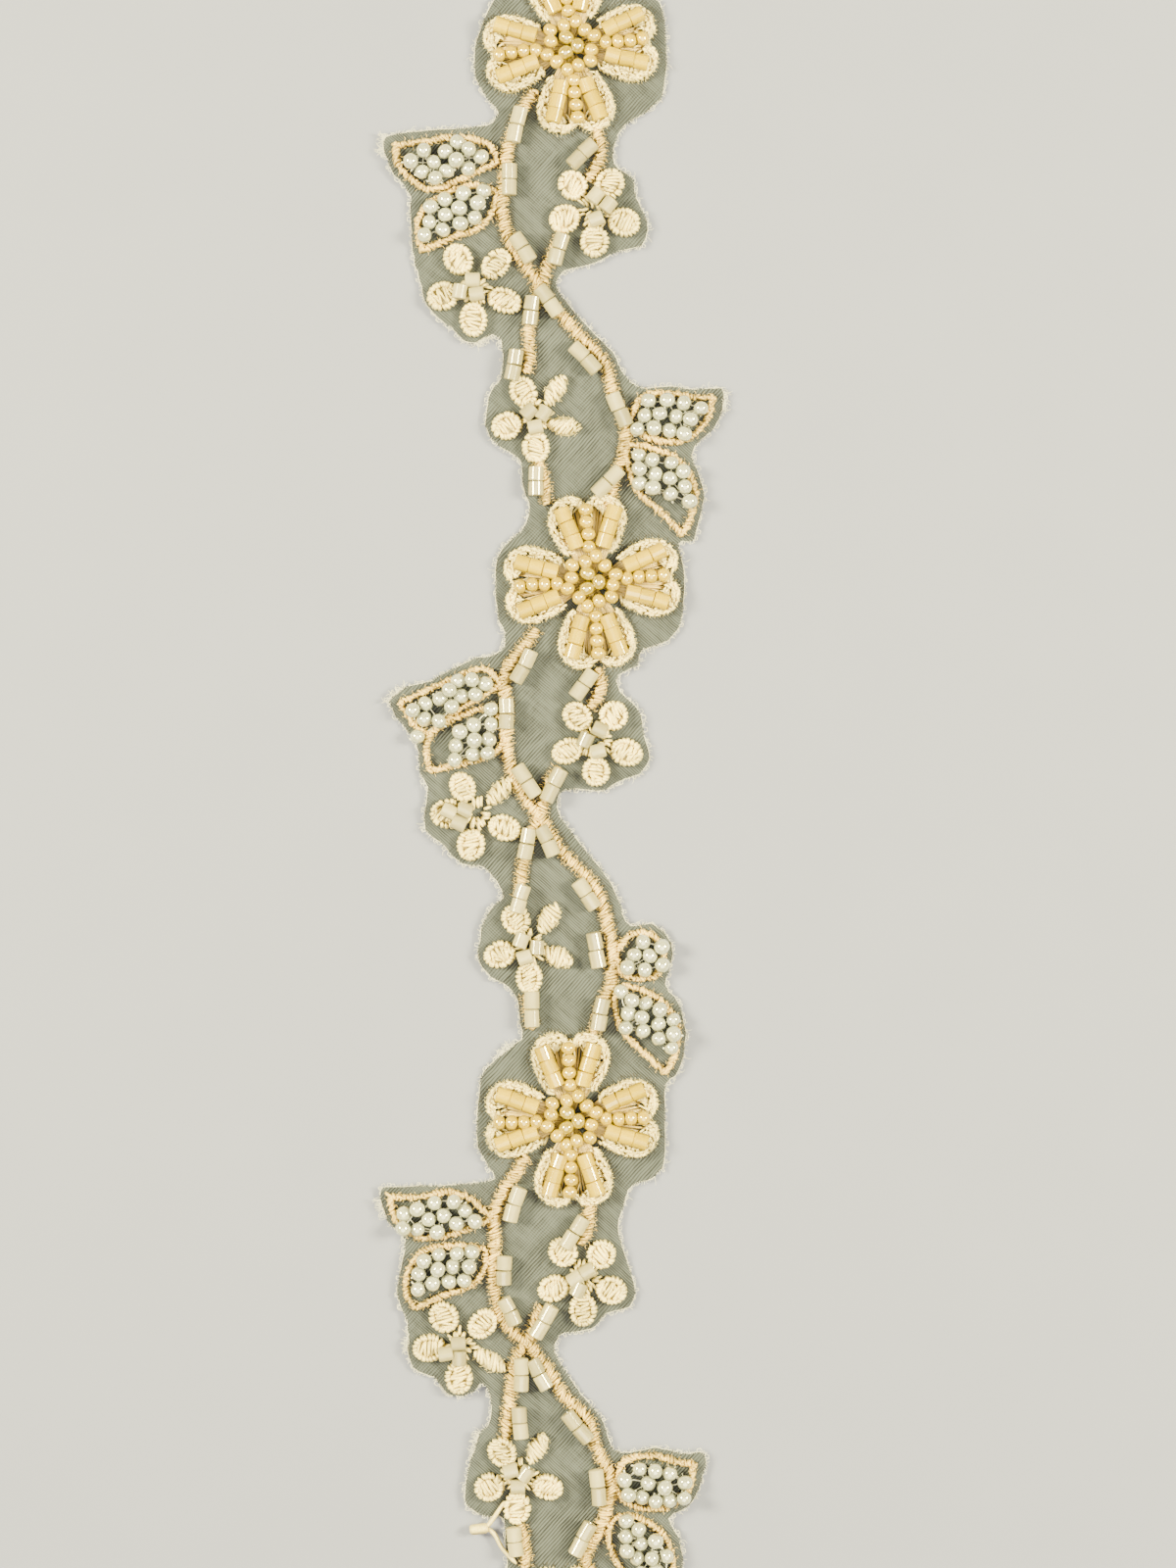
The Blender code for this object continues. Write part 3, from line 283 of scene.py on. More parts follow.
# Hand-cut outline of the organza, anticlockwise from the top of the first flower
OUTLINE_LEFT = (
    (3.0, 119.3), (-3.4, 118.4), (-5.4, 115.2), (-8.3, 110.6), (-10.2, 105.8), (-10.7, 102.4),
    (-10.2, 99.2), (-8.2, 96.6), (-7.4, 95.0), (-8.9, 93.6), (-13.2, 93.1), (-20.8, 92.5),
    (-23.3, 91.6), (-23.3, 89.3), (-22.1, 86.4), (-20.0, 84.0), (-19.7, 81.4), (-19.6, 78.2),
    (-19.3, 74.6), (-18.5, 71.6), (-17.6, 68.4), (-16.0, 66.2), (-13.9, 64.6), (-12.2, 62.9),
    (-10.0, 62.5), (-8.0, 63.6), (-6.9, 62.8), (-6.5, 60.0), (-6.9, 57.5), (-8.4, 55.6),
    (-9.0, 52.8), (-8.9, 50.0), (-7.4, 48.0), (-5.0, 46.6), (-3.9, 45.0), (-3.6, 41.4),
    (-2.8, 39.2), (-4.0, 36.0), (-6.7, 33.4), (-7.6, 30.6), (-7.5, 24.6), (-6.4, 21.4),
    (-6.4, 19.6), (-8.3, 18.2), (-11.4, 17.6), (-16.7, 14.8), (-19.9, 13.9), (-22.6, 12.2),
    (-21.9, 9.6), (-20.1, 7.4), (-18.9, 5.6), (-18.3, 1.4), (-17.3, -0.6), (-17.8, -4.4),
    (-17.2, -7.2), (-14.9, -8.9), (-13.5, -10.6), (-11.7, -11.7), (-9.3, -11.9), (-7.6, -13.9),
    (-6.6, -16.0), (-8.0, -17.4), (-9.4, -19.8), (-10.0, -22.5), (-9.9, -25.4), (-8.0, -27.6),
    (-5.8, -28.9), (-4.6, -30.8), (-4.3, -33.4), (-4.0, -36.1), (-7.3, -38.6), (-9.6, -41.6),
    (-10.2, -45.9), (-10.1, -51.4), (-8.5, -54.6), (-8.2, -56.3), (-13.2, -56.8),
    (-20.8, -57.1), (-23.7, -57.2), (-24.0, -59.2), (-22.9, -62.3), (-20.6, -65.0),
    (-21.3, -69.4), (-21.4, -73.4), (-20.2, -76.4), (-20.2, -80.4), (-19.2, -83.0),
    (-16.3, -84.4), (-14.9, -86.3), (-12.8, -87.1), (-10.8, -86.3), (-9.4, -85.2),
    (-8.3, -87.2), (-8.4, -90.2), (-10.0, -92.4), (-11.2, -95.8), (-12.0, -99.6),
    (-11.6, -102.4), (-9.2, -104.0), (-6.5, -104.4), (-6.3, -107.6), (-6.1, -111.4),
    (-8.6, -114.6), (-10.4, -118.2), (-11.0, -123.0), (-10.3, -128.2), (-8.2, -131.0),
    (-4.9, -132.4), (-4.6, -136.0), (-2.2, -137.6),
)
OUTLINE_RIGHT = (
    (3.0, -137.0), (8.6, -137.8), (10.4, -135.4), (10.8, -132.6), (14.0, -131.4),
    (15.8, -128.4), (16.0, -122.6), (16.4, -119.0), (18.4, -115.6), (19.1, -110.8),
    (18.5, -106.9), (17.1, -104.3), (19.9, -102.4), (21.4, -99.6), (22.3, -95.2),
    (18.6, -94.9), (15.0, -94.1), (10.2, -94.9), (8.6, -92.9), (7.7, -90.2), (4.6, -86.6),
    (2.4, -83.3), (0.9, -80.6), (1.6, -78.4), (4.2, -77.8), (6.6, -77.2), (8.2, -75.4),
    (11.5, -74.2), (12.2, -71.5), (10.8, -66.7), (10.0, -62.9), (10.8, -59.7), (11.9, -57.1),
    (15.0, -55.9), (16.5, -53.2), (16.6, -45.8), (16.7, -42.6), (18.6, -40.6), (19.5, -35.6),
    (18.6, -31.2), (16.6, -28.6), (17.5, -25.2), (17.1, -21.8), (14.6, -19.8), (11.6, -20.1),
    (10.2, -17.4), (8.9, -14.0), (6.4, -10.8), (3.9, -7.6), (1.2, -3.6), (2.4, -1.0),
    (7.6, -1.0), (9.9, 0.2), (12.9, 1.4), (14.4, 3.6), (13.6, 6.9), (12.7, 10.6), (10.2, 13.0),
    (9.9, 15.2), (12.6, 16.7), (13.2, 18.9), (17.1, 20.3), (19.0, 23.6), (19.2, 30.4),
    (18.5, 33.9), (20.6, 34.6), (21.6, 38.4), (22.1, 41.6), (20.6, 45.6), (20.8, 48.0),
    (23.6, 50.4), (24.7, 53.2), (24.6, 56.1), (20.8, 56.1), (16.7, 56.4), (12.6, 56.4),
    (10.3, 58.9), (9.3, 61.2), (6.6, 63.9), (3.7, 67.0), (1.2, 70.4), (2.2, 72.6),
    (6.3, 73.8), (9.9, 75.4), (13.3, 76.4), (14.1, 79.6), (12.6, 83.0), (11.9, 86.0),
    (9.4, 88.0), (9.6, 91.0), (11.0, 93.5), (15.0, 96.3), (16.6, 99.4), (16.5, 108.4),
    (15.0, 111.6), (11.3, 113.0), (9.9, 117.4),
)


# Stage, in metres and watts
FLOOR_SIZE = 8.0
FLOOR_DROP = 0.00005                                    # floor below the lowest thread
AIM = Vector((0.0052, 0.0092, 0.001))
CAMERA_HEIGHT = 0.6
VIEW_HEIGHT = 0.2222                                    # what the camera takes in
VIEW_LEVEL = 0.0015                                     # height at which it does
LAMP_COLOUR = (1.0, 0.91, 0.47)
# Lamps: name, place, size, power
LAMPS = (("lamp_left", (-0.56, 0.14, 0.50), 0.25, 34.0),
         ("lamp_right", (0.55, 0.08, 0.51), 0.25, 31.0),
         ("lamp_wide", (0.1, -0.5, 0.9), 1.0, 2.0))


# ---------------------------------------------------------------- places and curves

def design_middle():
    """The point of the design that lies over the frame's origin, from the big flowers."""
    total = Vector((0, 0))
    for number, (x, y, _) in FLOWERS.items():
        low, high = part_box(f"flower_beads_{number}")
        total += Vector((x, y)) - Vector((low[0] + high[0], low[1] + high[1])) / 2 / MM
    return total / len(FLOWERS)


DESIGN_MIDDLE = design_middle()


def lie(x, y):
    """Height of the organza above the table at a point of the design, mm."""
    return (0.62 + 0.2 * math.sin(0.21 * x + 1.0) * math.sin(0.083 * y)
            + 0.14 * math.sin(0.33 * x - 0.19 * y))


def put(point, height):
    """A point of the design at a height above the organza, in the frame's metres."""
    x, y = point[0], point[1]
    return Vector(((x - DESIGN_MIDDLE.x) * MM, (y - DESIGN_MIDDLE.y) * MM,
                   (lie(x, y) + height) * MM))


def polar(centre, radius, degrees):
    """The point at a radius and a direction from a centre."""
    angle = math.radians(degrees)
    return Vector((centre[0] + radius * math.cos(angle), centre[1] + radius * math.sin(angle)))


def spline(a, b, c, d, steps):
    """Points of the smooth stretch from b up to c, between a and d."""
    return [0.5 * (2 * b + (c - a) * t + (2 * a - 5 * b + 4 * c - d) * t * t
                   + (3 * b - a - 3 * c + d) * t * t * t)
            for t in (step / steps for step in range(steps))]


def direction(degrees):
    """The heading of a direction."""
    return polar((0, 0), 1.0, degrees)


def smooth(points, steps):
    """Points of the smooth curve that runs through the given points."""
    ends = [2 * Vector(points[0]) - Vector(points[1])]
    ends += [Vector(point) for point in points]
    ends += [2 * Vector(points[-1]) - Vector(points[-2])]
    curve = []
    for four in zip(ends, ends[1:], ends[2:], ends[3:]):
        curve += spline(*four, steps)
    curve.append(ends[-2])
    return curve


def leaf_path(leaf, steps):
    """Closed path of a leaf's outline, pointed at its tip, first point repeated at the end."""
    base, one_side, tip, other_side = leaf
    out = smooth((base,) + one_side + (tip,), steps)
    back = smooth((tip,) + other_side + (base,), steps)
    return out[:-1] + back


def paced(path, pitch):
    """Even places along a path: point, heading and share of the whole length."""
    total = sum((b - a).length for a, b in zip(path, path[1:]))
    count = max(1, round(total / pitch))
    step = total / count
    places = []
    walked = 0.0
    wanted = step / 2
    for a, b in zip(path, path[1:]):
        length = (b - a).length
        while length > 0 and wanted <= walked + length and len(places) < count:
            along = (b - a) / length
            places.append((a + along * (wanted - walked), along, wanted / total))
            wanted += step
        walked += length
    return places


def turned(vector, degrees):
    """A flat vector turned anticlockwise."""
    angle = math.radians(degrees)
    return Vector((vector.x * math.cos(angle) - vector.y * math.sin(angle),
                   vector.x * math.sin(angle) + vector.y * math.cos(angle)))


# ---------------------------------------------------------------- meshes

def new_mesh():
    """An empty mesh in the making, with a tint for every point."""
    bm = bmesh.new()
    bm.verts.layers.float.new("tint")
    return bm


def skin(bm, loops, tint):
    """Skin a row of equal loops into a closed form with one tint."""
    layer = bm.verts.layers.float["tint"]
    rings = []
    for loop in loops:
        ring = [bm.verts.new(point) for point in loop]
        for vert in ring:
            vert[layer] = tint
        rings.append(ring)
    for ring, after in zip(rings, rings[1:]):
        for i in range(len(ring)):
            j = (i + 1) % len(ring)
            bm.faces.new((ring[i], ring[j], after[j], after[i]))
    bm.faces.new(list(reversed(rings[0])))
    bm.faces.new(rings[-1])


def thread(bm, route, width, tint, taper=0.55):
    """A round thread along a route of points and heights, thinner at its ends."""
    points = [Vector((point[0], point[1])) for point, _ in route]
    last = len(route) - 1
    loops = []
    for i, (point, height) in enumerate(route):
        along = (points[min(i + 1, last)] - points[max(i - 1, 0)]).normalized()
        side = right_of(along)
        half = width / 2 * (taper if i in (0, last) else 1.0)
        centre = points[i]
        loops.append([put(centre - side * half, height), put(centre, height - half),
                      put(centre + side * half, height), put(centre, height + half)])
    skin(bm, loops, tint)


STITCH_ARCH = ((0.0, 0.0), (0.1, 0.55), (0.32, 0.93), (0.68, 0.93), (0.9, 0.55), (1.0, 0.0))


def stitch(bm, start, end, width, crest, tint, foot=0.05):
    """One arched stitch from foot to foot, over the padding below it."""
    route = [(start.lerp(end, way), foot + (crest - foot) * rise) for way, rise in STITCH_ARCH]
    thread(bm, route, width, tint)


def sew(bm, rng, start, end, widths, crests, tints, foot=0.05):
    """A stitch whose width, crest and tint are drawn from their ranges, in that order."""
    stitch(bm, start, end, rng.uniform(*widths), rng.uniform(*crests), rng.uniform(*tints), foot)


def lay(bm, rng, route, widths, tints=(0.0, 1.0), taper=0.55):
    """A thread whose width and tint are drawn from their ranges, in that order."""
    thread(bm, route, rng.uniform(*widths), rng.uniform(*tints), taper)


def right_of(along):
    """The flat direction to the right of a heading."""
    return Vector((along.y, -along.x))


def padding(bm, path, width, crest, tint):
    """The low padded core under a row of stitches."""
    loops = []
    last = len(path) - 1
    for i, point in enumerate(path):
        along = (path[min(i + 1, last)] - path[max(i - 1, 0)]).normalized()
        side = right_of(along) * width / 2
        loops.append([put(point - side, 0.02), put(point + side, 0.02),
                      put(point + side * 0.8, crest * 0.6), put(point, crest),
                      put(point - side * 0.8, crest * 0.6)])
    skin(bm, loops, tint)


def fuzz(bm, path, spacing, off, rng):
    """Fine stray fibres along both sides of a path, or along its outer side."""
    for point, along, _ in paced(path, spacing):
        for side in off:
            normal = right_of(along) * (1 if side > 0 else -1)
            place = point + normal * (abs(side) - 0.1) + along * rng.uniform(-0.3, 0.3)
            heading = turned(normal, rng.uniform(-70, 70))
            curl = rng.uniform(15, 45) * rng.choice((-1, 1))
            step = rng.uniform(0.12, 0.27)
            height = rng.uniform(0.25, 0.8)
            rise = rng.uniform(-0.08, 0.12)
            route = []
            for _ in range(4):
                route.append((place, height))
                place = place + heading * step
                heading = turned(heading, curl)
                height = max(0.08, height + rise)
            lay(bm, rng, route, (0.045, 0.075), (0.6, 1.0), 0.6)


def legs(bm, path, off, pitch, reach, rng):
    """Short stitch legs that run from a row out into the cloth."""
    for point, along, _ in paced(path, pitch):
        side = right_of(along) * (1 if off > 0 else -1)
        lean = turned(side, rng.uniform(-22, 22))
        start = point + side * (abs(off) - 0.35)
        end = start + lean * reach * rng.uniform(0.75, 1.2)
        lay(bm, rng, [(start, 0.3), (start.lerp(end, 0.6), 0.12), (end, 0.02)],
            (0.07, 0.12), (0.5, 1.0), 0.7)


def satin_cord(bm, path, width, crest, pitch, slant, rng, rough=1.0):
    """A corded row of fine slanting stitches along a path, with loops worked over it."""
    # Painted shade: the padding takes the thread's darkest tone, dark in the grooves between
    # stitches
    padding(bm, path, width * 0.74, crest * 0.62, 0.0)
    swell = 0.0
    total = sum((b - a).length for a, b in zip(path, path[1:]))
    for point, along, share in paced(path, pitch):
        ease = min(1.0, 0.55 + 0.35 * total * min(share, 1.0 - share))
        swell = 0.6 * swell + rng.uniform(-0.07, 0.07) * rough
        side = right_of(along)
        lean = turned(side, slant + rng.uniform(-20, 20) * rough)
        reach = width / 2 * rng.uniform(0.84, 1.1) * (1 + swell) * ease
        if width > 1.3:
            near = min((point - Vector(leaf[0])).length for leaf in LEAVES.values())
            reach *= 1.0 + 0.2 * math.exp(-(near / 3.5) ** 2)
        reach = reach / max(0.6, abs(lean.dot(side)))
        centre = point + along * rng.uniform(-0.06, 0.06) + side * rng.uniform(-0.06, 0.06)
        stitch(bm, centre - lean * reach, centre + lean * reach,
               pitch * rng.uniform(0.75, 1.0),
               crest * (1 + swell) * rng.uniform(0.88, 1.1), rng.uniform(0.25, 1.0))
        for _ in range(rng.choice((0, 0, 1, 1)) if width > 1.3 else 1):
            lean = turned(side, slant + rng.uniform(-60, 45))
            centre = point + side * width * rng.uniform(-0.36, 0.36)
            reach = min(width, 1.6) * rng.uniform(0.14, 0.26)
            stitch(bm, centre - lean * reach, centre + lean * reach,
                   pitch * rng.uniform(0.75, 1.1), crest * rng.uniform(0.95, 1.22),
                   rng.uniform(0.35, 1.0), crest * 0.45)


def add_object(name, data, place=(0.0, 0.0, 0.0), turn=(0.0, 0.0, 0.0)):
    """Bring a mesh, a lamp or a camera into the scene."""
    made = bpy.data.objects.new(name, data)
    made.location = place
    made.rotation_euler = turn
    bpy.context.collection.objects.link(made)
    return made


def finish_piece(bm, name, material, nodes=(), faceted=False, closed=True):
    """Make a piece from a mesh; it rides on the row and may stand for CAD nodes."""
    if closed:
        bmesh.ops.recalc_face_normals(bm, faces=bm.faces)
    mesh = bpy.data.meshes.new(name)
    bm.to_mesh(mesh)
    bm.free()
    mesh.shade_smooth()
    if faceted:
        mesh.set_sharp_from_angle(angle=SHARP_EDGE)
    mesh.materials.append(shared_materials()[material])
    piece = add_object(name, mesh)
    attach(piece, "root")
    if nodes:
        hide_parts(*nodes)
    return piece


def add_copy(bm, pattern, matrix, tint, satin=0.0):
    """Add a copy of a bead's mesh, placed by a matrix; satin dulls its gloss; rim paints its
    shade.
    """
    start = len(bm.verts)
    bm.from_mesh(pattern)
    bm.verts.ensure_lookup_table()
    rim = bm.verts.layers.float.get("rim") or bm.verts.layers.float.new("rim")
    dull = bm.verts.layers.float.get("satin") or bm.verts.layers.float.new("satin")
    layer = bm.verts.layers.float["tint"]
    middle = matrix.translation.z
    crown = max(0.5 * MM, max((matrix @ vert.co).z for vert in pattern.vertices) - middle)
    for vert in bm.verts[start:]:
        vert.co = matrix @ vert.co
        vert[layer] = tint
        # Painted shade: none on the crown, rising down the sides to full from the bead's middle
        # down
        vert[rim] = 1.0 - min(1.0, max(0.0, (vert.co.z - middle) / crown))
        vert[dull] = satin


def bead_matrix(point, height, along, roll=0.0, tilt=0.0, size=(1.0, 1.0)):
    """Places a bead whose hole runs along Z: its hole lies along a flat heading."""
    heading = Vector((along[0], along[1], tilt)).normalized()
    turn = heading.to_track_quat("Z", "Y").to_matrix().to_4x4()
    scale = Matrix.Diagonal((size[0], size[0], size[1], 1.0))
    return Matrix.Translation(put(point, height)) @ turn @ Matrix.Rotation(roll, 4, "Z") @ scale


def set_bead(bm, rng, pattern, where, height, heading, roll, tilt, size=(1.0, 1.0), satin=None):
    """Set a bead: its roll, tilt and tint are drawn, then its dullness if satin says how."""
    matrix = bead_matrix(where, height, heading, rng.uniform(0, roll),
                         rng.uniform(-tilt, tilt), size)
    add_copy(bm, pattern, matrix, rng.random(), satin() if satin else 0.0)


# ---------------------------------------------------------------- bead patterns

def start_primitive():
    """Nothing selected and no mode, ready for a new primitive."""
    if bpy.context.mode != "OBJECT":
        bpy.ops.object.mode_set(mode="OBJECT")
    bpy.ops.object.select_all(action="DESELECT")


def take_pattern(name):
    """Keep the mesh of the object in hand as a pattern and remove the object."""
    maker = bpy.context.object
    pattern = maker.data
    pattern.name = name
    bpy.data.objects.remove(maker)
    return pattern


def select_faces(mesh, wanted):
    """In edit mode, select just the faces that a test on their middle and normal picks."""
    bm = bmesh.from_edit_mesh(mesh)
    for face in bm.faces:
        face.select = wanted(face.calc_center_median(), face.normal)
    bm.select_flush_mode()
    bmesh.update_edit_mesh(mesh)


def round_bead_pattern(diameter, length):
    """A round bead: a ball with its poles pushed in at the thread hole."""
    start_primitive()
    radius = diameter * MM / 2
    bpy.ops.mesh.primitive_uv_sphere_add(segments=12, ring_count=8, radius=radius,
                                         location=(0, 0, 0))
    bpy.ops.object.mode_set(mode="EDIT")
    bpy.ops.mesh.select_mode(type="VERT")
    bm = bmesh.from_edit_mesh(bpy.context.object.data)
    for vert in bm.verts:
        vert.select = abs(vert.co.z) > radius * 0.98
    bm.select_flush_mode()
    bmesh.update_edit_mesh(bpy.context.object.data)
    bpy.ops.transform.resize(value=(1, 1, 0.62))
    bpy.ops.mesh.select_all(action="SELECT")
    bpy.ops.transform.resize(value=(1, 1, length / diameter))
    bpy.ops.object.mode_set(mode="OBJECT")
    return take_pattern("round_bead")


def tube_bead_pattern(diameter, length):
    """A short cut tube: soft edges, and an end drawn in at the thread hole."""
    start_primitive()
    radius = diameter * MM / 2
    half = length * MM / 2
    bpy.ops.mesh.primitive_cylinder_add(vertices=TUBE_SIDES, radius=radius, depth=length * MM,
                                        location=(0, 0, 0))
    mesh = bpy.context.object.data
    bpy.ops.object.mode_set(mode="EDIT")
    bpy.ops.mesh.select_mode(type="FACE")
    select_faces(mesh, lambda middle, normal: abs(normal.z) > 0.9)
    bpy.ops.mesh.inset(thickness=radius * 0.16, depth=0.0, use_individual=True)
    bpy.ops.mesh.inset(thickness=radius * 0.3, depth=0.0, use_individual=True)
    bpy.ops.mesh.inset(thickness=radius * 0.12, depth=-half * 0.25, use_individual=True)
    bpy.ops.mesh.select_mode(type="VERT")
    bm = bmesh.from_edit_mesh(mesh)
    for vert in bm.verts:
        if math.hypot(vert.co.x, vert.co.y) > radius * 0.98:
            vert.co.z *= 0.9
    bmesh.update_edit_mesh(mesh)
    bpy.ops.object.mode_set(mode="OBJECT")
    return take_pattern("tube_bead")


# ---------------------------------------------------------------- materials

def wire(tree, made, values, feeds):
    """Give the inputs of a shader node their values, and link what feeds the others."""
    for name, value in values.items():
        made.inputs[name].default_value = value
    for name, source in feeds.items():
        tree.links.new(source, made.inputs[name])


def node(tree, kind, values=None, feeds=None, **settings):
    """A new shader node with its settings, its values and its links."""
    made = tree.nodes.new(kind)
    for name, value in settings.items():
        setattr(made, name, value)
    wire(tree, made, values or {}, feeds or {})
    return made


def opaque(colour, share=1.0):
    """A share of a colour's brightness, as a socket takes it."""
    return (*[min(1.0, part * share) for part in colour], 1.0)


def object_place(tree):
    """Where a point lies on its own piece."""
    return node(tree, "ShaderNodeTexCoord").outputs["Object"]


def carried(tree, name):
    """A value that every point of a mesh carries."""
    return node(tree, "ShaderNodeAttribute", attribute_name=name).outputs["Fac"]


def mapped(tree, place, **values):
    """A place turned or scaled."""
    return node(tree, "ShaderNodeMapping", values, {"Vector": place}).outputs["Vector"]


def noise(tree, place, scale=1.0, detail=2.0, roughness=0.5):
    """Soft random mottling."""
    return node(tree, "ShaderNodeTexNoise",
                {"Scale": scale, "Detail": detail, "Roughness": roughness},
                {"Vector": place}).outputs["Fac"]


def weigh(tree, value, factor, more=None):
    """A value times a factor, plus another value if there is one."""
    feeds, operation = {0: value}, "MULTIPLY"
    if more is not None:
        feeds[2], operation = more, "MULTIPLY_ADD"
    return node(tree, "ShaderNodeMath", {1: factor}, feeds, operation=operation).outputs[0]


def remap(tree, value, low, high, start=0.0, end=1.0):
    """The stretch of a value from start to end, moved to run from low to high."""
    return node(tree, "ShaderNodeMapRange",
                {"From Min": start, "From Max": end, "To Min": low, "To Max": high},
                {"Value": value}).outputs["Result"]


def tones(tree, value, dark, light, start=0.0, end=1.0):
    """A colour that runs from a dark to a light tone between two values."""
    made = node(tree, "ShaderNodeValToRGB", feeds={"Fac": value})
    for element, colour, place in zip(made.color_ramp.elements, (dark, light), (start, end)):
        element.position = place
        element.color = colour
    return made.outputs["Color"]


def thread_group():
    """Shades a thread by its own tint and by fine fibres along it."""
    group = bpy.data.node_groups.get("Thread fibres")
    if group:
        return group
    group = bpy.data.node_groups.new("Thread fibres", "ShaderNodeTree")
    for name, way, kind in (("Colour", "INPUT", "Color"), ("Shade", "INPUT", "Color"),
                            ("Grain", "INPUT", "Float"), ("Colour", "OUTPUT", "Color"),
                            ("Height", "OUTPUT", "Float")):
        group.interface.new_socket(name, in_out=way, socket_type=f"NodeSocket{kind}")
    entry = node(group, "NodeGroupInput").outputs
    place = object_place(group)
    fibres = node(group, "ShaderNodeTexNoise", {"Detail": 3.0},
                  {"Vector": place, "Scale": entry["Grain"]}).outputs["Fac"]
    mottle = weigh(group, fibres, 0.8, noise(group, place, 180.0))
    share = weigh(group, carried(group, "tint"), 0.7, mottle)
    less = node(group, "ShaderNodeMath", {1: 0.78}, {0: share},
                operation="SUBTRACT", use_clamp=True)
    mix = node(group, "ShaderNodeMix", data_type="RGBA")
    wire(group, mix, {}, {"Factor": less.outputs[0], "A": entry["Shade"], "B": entry["Colour"]})
    node(group, "NodeGroupOutput", feeds={"Colour": mix.outputs["Result"], "Height": fibres})
    return group


def new_material(name):
    """A material with its Principled shader and its node tree."""
    made = bpy.data.materials.new(name)
    made.use_nodes = True
    return made, made.node_tree, made.node_tree.nodes["Principled BSDF"]


def thread_material(name, colour, shade):
    """Embroidery thread: a soft sheen on fine fibres."""
    made, tree, shader = new_material(name)
    fibres = node(tree, "ShaderNodeGroup",
                  {"Colour": opaque(colour), "Shade": opaque(shade), "Grain": FIBRE_GRAIN},
                  node_tree=thread_group())
    bump = node(tree, "ShaderNodeBump", {"Strength": 0.35, "Distance": 0.08 * MM},
                {"Height": fibres.outputs["Height"]})
    wire(tree, shader, {"Roughness": 0.38, "Specular IOR Level": 0.5},
         {"Base Color": fibres.outputs["Colour"], "Normal": bump.outputs["Normal"]})
    return made


def bead_material(name, colour, rim, roughness, coat, glass, brightest=1.12):
    """Lustred glass bead under a clear gloss, with painted shade from its crown down to its sides.
    """
    made, tree, shader = new_material(name)
    # Painted shade: the rim colour takes over down the bead's sides and underside
    deep = node(tree, "ShaderNodeMath", {1: 2.0}, {0: carried(tree, "rim")}, operation="POWER")
    mix = node(tree, "ShaderNodeMix", {"A": opaque(colour), "B": opaque(rim)},
               {"Factor": deep.outputs[0]}, data_type="RGBA")
    mottle = weigh(tree, noise(tree, object_place(tree), 700.0), 0.5, carried(tree, "tint"))
    vary = node(tree, "ShaderNodeHueSaturation", feeds={
        "Value": remap(tree, mottle, 0.82, brightest, end=1.4), "Color": mix.outputs["Result"]})
    wire(tree, shader,
         {"Roughness": roughness, "Specular IOR Level": 0.08, "Coat Roughness": 0.06,
          "Coat Tint": opaque(glass), "Coat IOR": 3.6, "Subsurface Weight": 0.25,
          "Subsurface Scale": 0.5 * MM, "Subsurface Radius": (1.0, 0.95, 0.8)},
         {"Base Color": vary.outputs["Color"],
          "Coat Weight": remap(tree, carried(tree, "satin"), coat, coat * 0.15)})
    return made


def organza_material(colour):
    """Sheer plain weave: fine crossing yarns with small gaps between them, drawn with painted
    sheen lines and painted light and shade of soft folds.
    """
    made, tree, shader = new_material("Sheer organza")
    place = object_place(tree)
    yarns = []
    # The diagonal yarn bands are the weave, drawn also as painted sheen lines
    for degrees, scale, sheen_streaks in ((42.0, 780.0, 2600.0), (-48.0, 1000.0, 2200.0)):
        way = mapped(tree, place, Rotation=(0.0, 0.0, math.radians(degrees)))
        wave = node(tree, "ShaderNodeTexWave",
                    {"Scale": scale, "Distortion": 2.0, "Detail": 1.0, "Detail Scale": 0.6},
                    {"Vector": way}, wave_type="BANDS", bands_direction="X")
        # Painted sheen: lighter streaks along the yarns
        sheen_streak = noise(tree, mapped(tree, way, Scale=(sheen_streaks, sheen_streaks * 0.1, sheen_streaks)))
        yarns.append(weigh(tree, wave.outputs["Fac"], 0.8, sheen_streak))
    patches = remap(tree, noise(tree, place, 75.0, 1.0), 0.0, 1.0, 0.42, 0.58)
    weave = node(tree, "ShaderNodeMix", feeds={"Factor": patches, "A": yarns[0], "B": yarns[1]})
    # Painted light and shade of soft folds running along the trim
    fold_light_and_shade = noise(tree, mapped(tree, place, Scale=(900.0, 70.0, 900.0)), detail=4.0)
    drift = weigh(tree, fold_light_and_shade, 0.7, weigh(tree, weave.outputs["Result"], 1.9))
    total = weigh(tree, noise(tree, place, 130.0, 6.0, 0.65), 1.6, drift)
    body = weigh(tree, total, 0.245)
    wire(tree, shader, {"Roughness": 0.6, "Specular IOR Level": 0.2},
         {"Base Color": tones(tree, body, opaque(colour, 0.2), opaque(colour, 3.2), 0.42, 0.85),
          "Alpha": remap(tree, body, 0.85, 0.99, 0.2, 0.9)})
    return made


def plain_material(name, colour, roughness):
    """A plain material with a slight cloudiness."""
    made, tree, shader = new_material(name)
    cloud = noise(tree, object_place(tree), 60.0)
    wire(tree, shader, {"Roughness": roughness},
         {"Base Color": tones(tree, cloud, opaque(colour, 0.94), opaque(colour))})
    return made


# ---------------------------------------------------------------- settings

